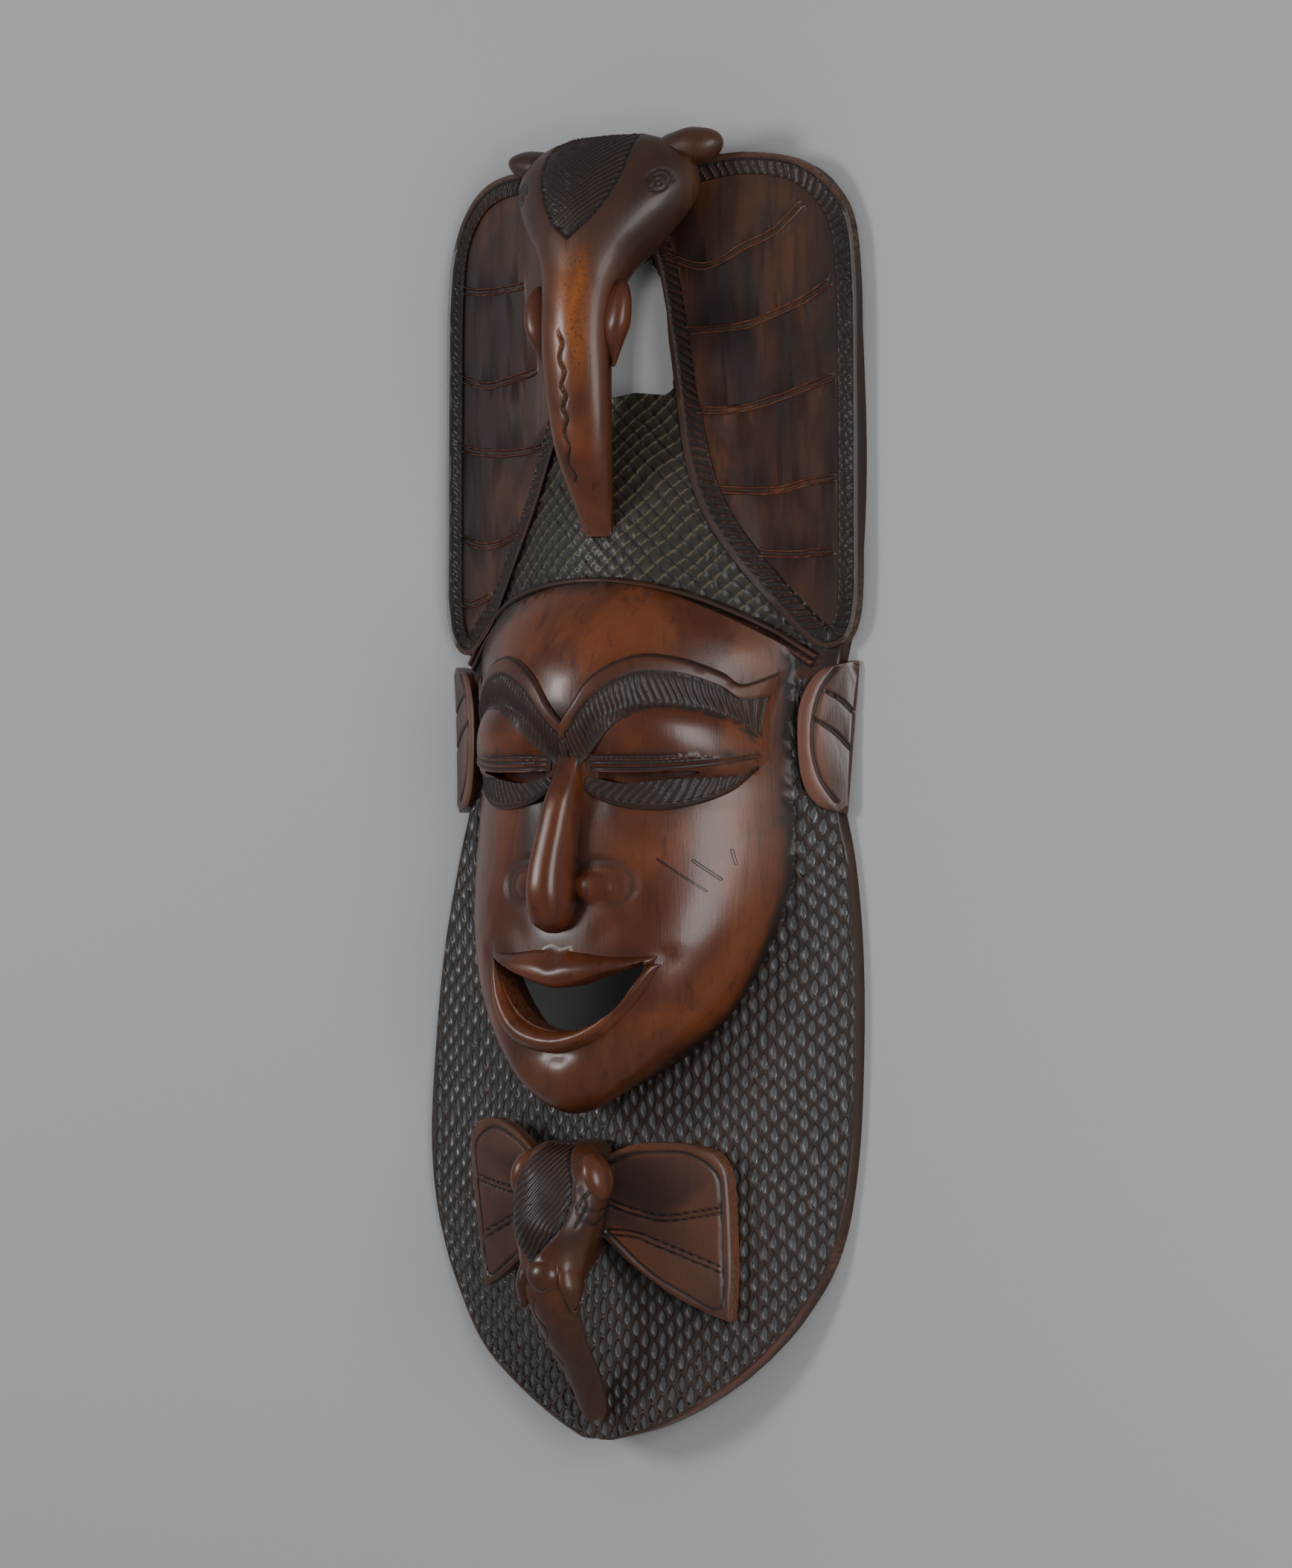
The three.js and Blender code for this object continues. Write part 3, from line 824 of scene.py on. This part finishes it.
def make_lower_elephant():
    head = loft("lower_elephant", 150, 210, [
        (-382, 46, 7, 5, 8), (-374, 47, 10, 7, 8), (-356, 56, 12.5, 9, 9), (-334, 73, 15, 9, 9),
        (-317, 83, 17, 10, 10), (-303, 91, 19, 10, 16), (-291, 88, 21, 16, 30), (-277, 86, 24, 19, 46),
        (-262, 84, 28, 24, 46), (-245, 80, 31, 23, 44), (-230, 77, 30, 20, 42), (-220, 74, 26, 14, 38),
        (-214, 70, 18, 6, 30)], lambda y: LOW_MIDDLE, pinch=0.35, relief=lower_relief)
    return [
        head,
        lump("neck", (-5, -246, 56), (20, 30, 30)),
        *[lump("low_knob", (LOW_MIDDLE + side * 25.5, -233, 80), (9, 15, 11), 0, 0.3 * side)
          for side in (1, -1)],
        lump("cheek_ball", (-4, -291, 99), (12, 11, 9)),
        *[leaf("flare", (LOW_MIDDLE + side * 16.5, -296, 93), (6, 19, 9), -0.3 * side, 0.22 * side)
          for side in (1, -1)],
        make_small_ear(1, -5, 0, 0.42),
        make_small_ear(-1, 7, 0.2, 0.28),
    ]


def make_small_ear(side, lift, lean, fall):
    """A fan-shaped ear with a line cut inside its rim and two ribs."""
    bottom = Path((16, -262), (33.4, -279.5), (51.5, -294), (70.4, -305.5), (90, -314))
    right_top = Path((22, -216), (36, -210), (52, -208.5), (68, -209.5), (82, -214))
    left_top = Path((22, -236), (36, -225), (52, -215), (68, -211), (82, -214))
    top = right_top if side > 0 else left_top
    outer = Path((90, -314), (91.5, -288), (91, -262), (90, -240), (88, -224), (82, -214))
    inner = Path((16, -262), (19, -250), tuple(top.points[0]))
    ribs = [Path((21, -244), (38, -250), (56, -253), (85, -248)),
            Path((17, -262), (36, -263), (49, -268), (66, -275), (85, -283))]
    rim_top = [(x, y - 5.5) for x, y in top.points[:4]]
    rim_line = Path(*rim_top, (83, -226), (85.5, -244), (86, -270), (85.5, -306), (64, -297),
                    (44, -284), (22, -262))

    def place(u, v, thick):
        a, b = (u + 1) / 2, (v + 1) / 2
        across, up = a[:, None], b[:, None]
        low, high, near, far = bottom.at(a), top.at(a), inner.at(b), outer.at(b)
        corners = [mix(line.at(0.0), line.at(1.0), across) for line in (bottom, top)]
        flat = mix(low, high, up) + mix(near, far, across) - mix(*corners, up)
        x, y = flat[:, 0], flat[:, 1]
        marks = ear_marks(x, y)
        edge = np.maximum(ease(0.93, 1, np.abs(v)), ease(0.93, 1, u))
        z = np.where(thick > 0.5, SMALL_EAR_THICK - marks[:, GROOVE] - 1.0 * edge + ear_ridge(x, y), 0)
        wide = x * (1 + lean * ease(-330, -200, y) - lean / 2)
        return side * wide + LOW_MIDDLE, y + lift, z + 56 - fall * (wide - 20), marks

    def ear_marks(x, y):
        lines = bump(rim_line.distance(x, y), 0.9)
        lines = lines + sum(bump(np.abs(rib.distance(x, y)) - 1.7, 0.6) for rib in ribs) * (x < 85)
        warm = 0.2 * (1 + wobble(x, y, 25, 3)) * ease(80, 40, x)
        return marks_like(x, 0.1, clamp(lines), warm, -0.45 * ease(25, 60, x))

    def ear_ridge(x, y):
        return sum(0.4 * bump(rib.distance(x, y), 0.9) for rib in ribs)

    return slab("small_ear", 84, 110, place, merge=True)


# What is cut away

def make_gap():
    half = [(30, 311), (36, 303), (40, 282), (42, 255), (43, 237), (38, 233)]
    outline = [(4, 316)] + half + [(18, 235), (-8, 231)] + [(8 - x, y) for x, y in reversed(half)]
    return prism("gap", outline, -20, 120)


def make_mouth():
    x0 = axis(-120)
    low = Path((58, -104), (44, -130), (24, -143), (0, -147), (-22, -142), (-40, -127), (-51, -104))
    high = Path((-51, -104), (-28, -112.5), (0, -121), (30, -113), (58, -104))
    steps = np.linspace(0, 1, 40)[:-1]
    outline = [(x + x0, y) for x, y in np.concatenate([low.at(steps), high.at(steps)])]
    return prism("mouth", outline, 20, 140)


def make_hollow():
    def place(u, v, side):
        x, y, z = face_point(u * 0.97, (1 - v * 0.86) / 2, WALL)
        return x, y, np.where(side > 0.5, z, -10)
    return slab("hollow", 40, 40, place)


def make_eye_slits():
    """The dark slit that is undercut below each upper lid."""
    slits = []
    for side in (1, -1):
        low = on_face(Path((19, 3.5), (34, 0.5), (48, 1), (62, 3), (78, 6.5)), side)
        high = on_face(Path((19, 7.5), (34, 8), (48, 7), (62, 7), (78, 8)), side)
        way = between(low, high)

        def place(u, v, depth, way=way):
            x, y = way(u, (v + 1) / 2)
            return x, y, face_front(x, y) + np.where(depth > 0.5, 6, -10)

        slits.append(slab("slit", 6, 30, place))
    return slits


# Joining the shapes into one piece

def combine(base, operation, pieces):
    """Adds the pieces to the base, or cuts them from it."""
    group = bpy.data.collections.new(operation.lower())
    bpy.context.scene.collection.children.link(group)
    for piece in pieces:
        bpy.context.scene.collection.objects.unlink(piece)
        group.objects.link(piece)
    step = base.modifiers.new(operation.lower(), "BOOLEAN")
    step.operation = operation
    step.operand_type = "COLLECTION"
    step.collection = group
    step.solver = "MANIFOLD"
    finished = finish_modifiers(base)
    for piece in pieces:
        bpy.data.objects.remove(piece)
    bpy.data.collections.remove(group)
    return finished


def finish_modifiers(piece):
    """Swaps the piece's mesh for what its modifiers make of it."""
    depsgraph = bpy.context.evaluated_depsgraph_get()
    mesh = bpy.data.meshes.new_from_object(piece.evaluated_get(depsgraph))
    old = piece.data
    piece.modifiers.clear()
    piece.data = mesh
    bpy.data.meshes.remove(old)
    return piece


def thin_out(piece, most):
    """Collapses what is flat until the piece has no more than that many triangles."""
    piece.data.calc_loop_triangles()
    count = len(piece.data.loop_triangles)
    if count > most:
        step = piece.modifiers.new("thin", "DECIMATE")
        step.ratio = most / count
        finish_modifiers(piece)


def drop_crumbs(piece, fewest):
    """Deletes the tiny loose bits that joining can leave behind."""
    bm = bmesh.new()
    bm.from_mesh(piece.data)
    bmesh.ops.dissolve_degenerate(bm, dist=0.0005, edges=bm.edges[:])
    seen, crumbs = set(), []
    for start in bm.verts:
        if start in seen:
            continue
        seen.add(start)
        island = [start]
        for vertex in island:
            for edge in vertex.link_edges:
                other = edge.other_vert(vertex)
                if other not in seen:
                    seen.add(other)
                    island.append(other)
        if len(island) < fewest:
            crumbs += island
    bmesh.ops.delete(bm, geom=crumbs, context="VERTS")
    bm.to_mesh(piece.data)
    bm.free()


def edge_curvature(mesh, points, smoothing):
    """Per vertex, above 0 where the wood stands proud and below 0 in a hollow, evened out with
    the neighbours that many times."""
    pairs = np.zeros(len(mesh.edges) * 2, int)
    mesh.edges.foreach_get("vertices", pairs)
    a, b = pairs.reshape(-1, 2).T
    normals = numbers_of(mesh, "vertex_normals", "vector")
    count = np.bincount(a, minlength=len(points)) + np.bincount(b, minlength=len(points))
    total, reach = np.zeros_like(points), np.zeros(len(points))
    np.add.at(total, a, points[b] - points[a])
    np.add.at(total, b, points[a] - points[b])
    size = np.linalg.norm(points[b] - points[a], axis=1)
    np.add.at(reach, a, size)
    np.add.at(reach, b, size)
    curve = -(total * normals).sum(1) / np.maximum(reach, 1e-6)
    for _ in range(smoothing):
        spread = curve * 1.0
        np.add.at(spread, a, curve[b])
        np.add.at(spread, b, curve[a])
        curve = spread / (count + 1)
    return curve


def paint(piece):
    """Gives each vertex its finish from the nearest carved point, and from the shape its rubbed edges and
    the painted shade of its creases and hollows.
    """
    mesh = piece.data
    points = numbers_of(mesh, "vertices", "co")
    source = np.concatenate([place for place, _ in carved])
    marks = np.concatenate([finish for _, finish in carved])
    tree = KDTree(len(source))
    for k, place in enumerate(source.tolist()):
        tree.insert(place, k)
    tree.balance()
    nearest = [tree.find(place)[1] for place in points.tolist()]
    finish = marks[nearest]
    tight, broad = edge_curvature(mesh, points, 1), edge_curvature(mesh, points, 14)
    # channels: sharp edges for rubbed edges, tight creases and broad hollows for painted shade, broad
    # rises
    wear_and_shade = np.stack([clamp(tight * 3), clamp(-tight * 3), clamp(broad * 8), clamp(-broad * 8)], 1)
    for name, values in (("finish", finish), ("wear_and_shade", wear_and_shade)):
        layer = mesh.attributes.new(name, "FLOAT_COLOR", "POINT")
        layer.data.foreach_set("color", values.astype(np.float32).reshape(-1))


def into_frame(piece):
    """From the carver's millimetres to the part's metres."""
    points = (numbers_of(piece.data, "vertices", "co") + CARVER_ORIGIN) * MM
    piece.data.vertices.foreach_set("co", points.reshape(-1))
    piece.data.update()


def make_mask():
    mask = make_board()
    proud = make_borders() + make_ribs() + make_hairline() + [make_face()] + make_nose()
    proud += make_lips() + make_brows_and_lids() + [make_human_ear(1), make_human_ear(-1)]
    mask = combine(mask, "UNION", proud)
    mask = combine(mask, "DIFFERENCE", [make_gap(), make_hollow(), make_mouth()] + make_eye_slits())
    mask = combine(mask, "UNION", make_upper_elephant() + make_lower_elephant())
    mask.name = mask.data.name = "mask"
    thin_out(mask, MOST_TRIANGLES)
    drop_crumbs(mask, FEWEST_POINTS)
    paint(mask)
    into_frame(mask)
    for polygon in mask.data.polygons:
        polygon.use_smooth = True
    mask.data.set_sharp_from_angle(angle=SHARP_EDGE)
    return mask


# Materials

class Number:
    """A socket's number; ordinary arithmetic on it adds Math nodes."""

    def __init__(self, shader, socket):
        self.shader, self.socket = shader, socket

    def math(self, operation, first, second=0.0):
        node = self.shader.node("ShaderNodeMath", {"operation": operation}, {0: first, 1: second})
        return Number(self.shader, node.outputs[0])

    def __add__(self, other):
        return self.math("ADD", self, other)

    __radd__ = __add__

    def __mul__(self, other):
        return self.math("MULTIPLY", self, other)

    __rmul__ = __mul__

    def __sub__(self, other):
        return self.math("SUBTRACT", self, other)

    def __rsub__(self, other):
        return self.math("SUBTRACT", other, self)

    def part(self):
        return self.math("FRACT", self)

    def size(self):
        return self.math("ABSOLUTE", self)

    def linear(self):
        """Kept between 0 and 1."""
        return self.math("MINIMUM", self.math("MAXIMUM", self, 0.0), 1.0)

    def root(self):
        return self.math("SQRT", self)

    def between(self, low, high):
        """0 at low, 1 at high, kept between the two."""
        settings = {"clamp": True, "interpolation_type": "SMOOTHSTEP"}
        sockets = {"Value": self, "From Min": low, "From Max": high}
        node = self.shader.node("ShaderNodeMapRange", settings, sockets)
        return Number(self.shader, node.outputs["Result"])


class Shader:
    """One material's nodes."""

    def __init__(self, name):
        self.material = bpy.data.materials.new(name)
        self.material.use_nodes = True
        self.nodes = self.material.node_tree.nodes
        self.surface = self.nodes["Principled BSDF"]

    def node(self, kind, settings, sockets):
        node = self.nodes.new(kind)
        for name, value in settings.items():
            setattr(node, name, value)
        for name, value in sockets.items():
            self.set(node.inputs[name], value)
        return node

    def set(self, socket, value):
        source = value.socket if isinstance(value, Number) else value
        if isinstance(source, bpy.types.NodeSocket):
            self.material.node_tree.links.new(source, socket)
        else:
            socket.default_value = source

    def place(self):
        """Object coordinates."""
        return self.node("ShaderNodeTexCoord", {}, {}).outputs["Object"]

    def near(self, x, y, start, end):
        """How far a place is from a short straight line."""
        (ax, ay), (bx, by) = start, end
        dx, dy = bx - ax, by - ay
        along = (((x - ax) * dx + (y - ay) * dy) * (1 / (dx * dx + dy * dy))).linear()
        off_x, off_y = x - ax - along * dx, y - ay - along * dy
        return (off_x * off_x + off_y * off_y).root()

    def near_path(self, x, y, points):
        """How far a place is from a line of several short straights."""
        best, *others = [self.near(x, y, a, b) for a, b in zip(points[:-1], points[1:])]
        for other in others:
            best = best.math("MINIMUM", best, other)
        return best

    def carver_place(self):
        """The place in the carver's millimetres, as three numbers."""
        parts = self.node("ShaderNodeSeparateXYZ", {}, {"Vector": self.place()}).outputs
        origin = CARVER_ORIGIN.tolist()
        return [Number(self, socket) * 1000 - shift for socket, shift in zip(parts, origin)]

    def noise(self, scale, detail, rough=0.55, warp=0.0):
        """Noise from 0 to 1, finer along each axis the larger its scale."""
        stretched = self.node("ShaderNodeMapping", {}, {"Vector": self.place(), "Scale": scale})
        node = self.node("ShaderNodeTexNoise", {}, {
            "Vector": stretched.outputs["Vector"], "Scale": 1.0, "Detail": detail,
            "Roughness": rough, "Distortion": warp})
        return Number(self, node.outputs["Fac"])

    def channels(self, name):
        """The four numbers that a vertex remembers under that name."""
        layer = self.node("ShaderNodeAttribute", {"attribute_name": name}, {})
        parts = self.node("ShaderNodeSeparateColor", {}, {"Color": layer.outputs["Color"]}).outputs
        return [Number(self, socket) for socket in (*parts, layer.outputs["Alpha"])]

    def layered(self, colour, layers):
        """The colour with each layer's colour laid over it, by that layer's amount."""
        for amount, over in layers:
            colour = self.node("ShaderNodeMix", {"data_type": "RGBA", "clamp_factor": True}, {
                "Factor": amount, 6: colour, 7: (*over, 1)}).outputs[2]
        return colour

    def bumps(self, height, strength, reach):
        sockets = {"Height": height, "Strength": strength, "Distance": reach}
        return self.node("ShaderNodeBump", {}, sockets).outputs["Normal"]

    def finish(self, **sockets):
        """Sets the surface's sockets, each named with _ for a space."""
        for name, value in sockets.items():
            self.set(self.surface.inputs[name.replace("_", " ")], value)
        return self.material


MAHOGANY = (0.086, 0.0195, 0.0062)
MAHOGANY_LIGHT = (0.172, 0.046, 0.0130)
MAHOGANY_DARK = (0.019, 0.0068, 0.0045)
ORANGE_WORN = (0.290, 0.082, 0.012)
PINK_WOOD = (0.165, 0.072, 0.050)
# used for the stain and also for painted shade
STAIN_AND_SHADE_BROWN = (0.021, 0.0150, 0.0105)
# grey painted sheen for the floors of the beard's gouges
PAINTED_SHEEN_GREY = (0.115, 0.122, 0.127)
BEARD_RIDGE = (0.048, 0.027, 0.015)
HAIR_TAN = (0.105, 0.078, 0.040)
HAIR_OLIVE = (0.023, 0.0195, 0.0115)
# black in the cuts, also used for painted shade in creases
CUT_AND_SHADE_BLACK = (0.0045, 0.0035, 0.0030)
EDGE_PALE = (0.250, 0.125, 0.070)

# small cuts on the cheek: from, to and half-width, in the carver's millimetres
CHEEK_CUTS = [((60, -44), (85, -63), 0.4), ((78, -45), (91, -56), 0.6), ((95, -39), (97, -47), 0.55)]


def net_of_cuts(x, y, beard, net):
    """The floors of the beard's gouges, the dark lines round the gouges, and the hair's ridges."""
    p, q = beard_grid(x, y)
    a, b = p.part() - 0.5, q.part() - 0.5
    across, up = (a + b) * (CELL_WIDE / 2), (a - b) * (CELL_TALL / 2)
    lens = across.size() * (1 / LENS_HALF_WIDE) + (up * up) * (1 / LENS_HALF_TALL ** 2)
    floors = 1 - lens.between(0.62, 0.95)
    lips = lens.between(0.62, 0.86) * (1 - lens.between(0.95, 1.15))
    p, q = hair_grid(x, y)
    along, over = p.part(), q.part()
    ridge = (over - 0.5).size().between(0.38, 0.45)
    crescent = 1 - along.between(0.05, 0.30)
    hair = net * (1 - beard)
    return floors * beard * net, lips * beard * net, ridge * hair, crescent * hair


def wave_line(strokes):
    """How far a stroke's height is from the nearest stroke, from 0 to a half."""
    return 0.5 - ((strokes * (1 / PATCH_PITCH)).part() - 0.5).size()


def carved_wood():
    """Stained mahogany: grain and blotches run along the block, black lies in the cuts, and the
    stain is worn off where hands and cloths have rubbed. Painted shade darkens creases, hollows and the
    face's recesses, and a painted sheen greys the floors of the beard's gouges."""
    wood = Shader("carved_wood")
    tone, groove, warm, cell = wood.channels("finish")
    # sharp marks rubbed edges; crease and sunk are painted shade in tight creases and broad hollows
    sharp, crease, _, sunk = wood.channels("wear_and_shade")
    x, y, z = wood.carver_place()
    grain = wood.noise((150, 13, 150), 4.0, 0.6, 0.4)
    pores = wood.noise((900, 70, 900), 2.0)
    blotch = wood.noise((16, 9, 16), 3.0, 0.6, 0.8)
    streak = wood.noise((120, 14, 120), 4.0, 0.65, 0.5)
    cloud = wood.noise((34, 21, 34), 4.0, 0.65, 0.6)
    speckle = wood.noise((420, 420, 420), 3.0, 0.7)

    # the regions: cut net, pale wood (on the ribs' ridges a painted highlight), ear panels and the two
    # elephants
    net = cell.between(0.3, 0.8)
    pale = (0 - cell).between(0, 1)
    beard = 1 - y.between(60, 78)
    panel = tone.between(0.2, 0.4) * (1 - tone.between(0.5, 0.8))
    panel = panel * y.between(70, 90) * (1 - z.between(48, 56))
    upper = z.between(48, 56) * (1 - net)
    lower = z.between(26, 34) * (1 - net) * (1 - y.between(-160, -138))
    darker = upper * y.between(285, 335) * 0.65
    darker = darker + upper * y.between(128, 140) * (1 - y.between(150, 220)) * 0.5
    darker = darker + lower * 0.45 + lower * (1 - y.between(-350, -260)) * 0.3

    # the knife's lines
    floors, lips, ridge, crescent = net_of_cuts(x, y, beard, net)
    low_patch = 1 - y.between(-100, 100)
    strokes = wave_line(upper_strokes(x, y)) * (1 - low_patch)
    strokes = strokes + wave_line(lower_strokes(x, y)) * low_patch
    furrows = strokes.between(0.16, 0.30) * (0 - warm).between(0.3, 0.8)
    cuts = sum(1 - wood.near(x, y, start, end).between(wide * 0.7, wide * 1.6)
               for start, end, wide in CHEEK_CUTS) * z.between(40, 50)
    seams = [wood.near_path(x, y, path.points.tolist())
             for path in (PATCH_LEFT, PATCH_RIGHT, LOW_PATCH_RIGHT)]
    seam = sum(1 - distance.between(0.5, 1.3) for distance in seams) * z.between(20, 30)
    rubbed = sharp.between(0.25, 0.9) * speckle.between(0.38, 0.62) * (1 - net) * (1 - groove)

    worn_panel = panel * blotch.between(0.46, 0.62) * (1 - streak.between(0.40, 0.62))
    colour = wood.layered((*MAHOGANY, 1), [
        (blotch.between(0.38, 0.66), MAHOGANY_LIGHT),
        (grain.between(0.52, 0.76) * 0.55, MAHOGANY_DARK),
        (pores.between(0.60, 0.74) * 0.35, MAHOGANY_DARK),
        (warm * speckle.between(0.34, 0.5), ORANGE_WORN),
        # tone: the stain, plus painted shade in the face's recesses, at its foot and on the elephants'
        # right sides
        (tone * (0.80 + 0.2 * grain), STAIN_AND_SHADE_BROWN),
        (worn_panel * 0.30, ORANGE_WORN),
        (panel * streak.between(0.50, 0.70) * 0.45, CUT_AND_SHADE_BLACK),
        (panel * cloud.between(0.45, 0.68) * 0.5, STAIN_AND_SHADE_BROWN),
        (pale * 0.9, PINK_WOOD),
        (darker * (0.6 + 0.4 * blotch), STAIN_AND_SHADE_BROWN),
        ((1 - z.between(9, 17)) * 0.75, STAIN_AND_SHADE_BROWN),
        (panel * y.between(235, 330) * 0.5, STAIN_AND_SHADE_BROWN),
        (beard * net * speckle.between(0.40, 0.60) * 0.7, BEARD_RIDGE),
        ((1 - beard) * net * 0.85, HAIR_OLIVE),
        (ridge * speckle.between(0.30, 0.50), HAIR_TAN),
        (crescent * 0.8, CUT_AND_SHADE_BLACK),
        # painted sheen: grey on the floors of the beard's gouges
        (floors * (0.35 + 0.65 * speckle), PAINTED_SHEEN_GREY),
        # painted shade in broad hollows
        (sunk.between(0.05, 0.6) * 0.85, MAHOGANY_DARK),
        # crease adds painted shade in tight creases; groove also holds the painted shade at the face's
        # foot
        (groove * 0.9 + crease * 0.35 + lips * 0.75 + furrows * 0.7, CUT_AND_SHADE_BLACK),
        (cuts * 0.9 + seam * 0.75, CUT_AND_SHADE_BLACK),
        (rubbed * 0.35, EDGE_PALE)])
    height = grain * 0.16 + pores * 0.1 + speckle * 0.08 - 0.45 * floors + 0.35 * ridge
    height = height - 0.5 * crescent - cuts - furrows * 0.6 - seam * 0.6
    return wood.finish(
        Base_Color=colour, Roughness=0.27 + 0.20 * tone + 0.20 * groove - 0.16 * floors + 0.12 * blotch,
        Coat_Weight=0.10, Coat_Roughness=0.15, Specular_IOR_Level=0.42,
        Normal=wood.bumps(height, 0.6, 0.0007))


# The studio

LENS_TO_MASK = 2.8
CAMERA_TURN = math.radians(35)
PHOTO_TALL = 2107  # the view's height in pixels
PIXELS_PER_METRE = 2204  # in the plane through the mask's origin
SENSOR = 36.0
FLOOR_DROP = 0.0004  # keeps the floor clear of the wood's flat underside


def aim(obj, place, target):
    """Stands a camera or light at a place, looking at the target, its top towards the crown."""
    back = (Vector(place) - Vector(target)).normalized()
    right = Vector((0, 1, 0)).cross(back).normalized()
    turn = Matrix((right, back.cross(right), back)).transposed().to_4x4()
    obj.matrix_world = Matrix.Translation(place) @ turn


def make_camera():
    camera = linked("camera", bpy.data.cameras.new("camera"))
    target = Vector(CARVER_ORIGIN * MM)
    sight = Vector((math.sin(CAMERA_TURN), 0, math.cos(CAMERA_TURN)))
    aim(camera, target + sight * LENS_TO_MASK, target)
    camera.data.sensor_fit = "VERTICAL"
    camera.data.sensor_height = SENSOR
    camera.data.lens = SENSOR * PIXELS_PER_METRE * LENS_TO_MASK / PHOTO_TALL
    camera.data.clip_start = 0.05
    camera.data.clip_end = 50
    bpy.context.scene.camera = camera


def make_light(name, place, size, power):
    light = bpy.data.lights.new(name, "AREA")
    light.shape = "RECTANGLE"
    light.size, light.size_y = size
    light.energy = power
    aim(linked(name, light), place, (0, 0, 0.04))


def make_studio():
    bm = bmesh.new()
    bmesh.ops.create_grid(bm, x_segments=1, y_segments=1, size=4)
    bmesh.ops.translate(bm, vec=(0, 0, -FLOOR_DROP), verts=bm.verts[:])
    mesh = bpy.data.meshes.new("floor")
    bm.to_mesh(mesh)
    bm.free()
    mesh.materials.append(Shader("pale_floor").finish(Base_Color=(0.46, 0.46, 0.46, 1), Roughness=0.8))
    floor = linked("floor", mesh)
    world = bpy.data.worlds.new("studio")
    bpy.context.scene.world = world
    world.use_nodes = True
    sky = world.node_tree.nodes["Background"].inputs
    sky["Color"].default_value = (0.9, 0.93, 1.0, 1)
    sky["Strength"].default_value = 0.28
    make_light("key_left", (-1.35, 0.36, 1.75), (0.42, 0.6), 18)
    make_light("soft_right", (2.2, 0.20, 1.7), (1.1, 1.5), 42)


make_camera()
make_studio()
mask = make_mask()
mask.data.materials.clear()
mask.data.materials.append(carved_wood())
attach(mask, "root")
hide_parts("carved_mask")
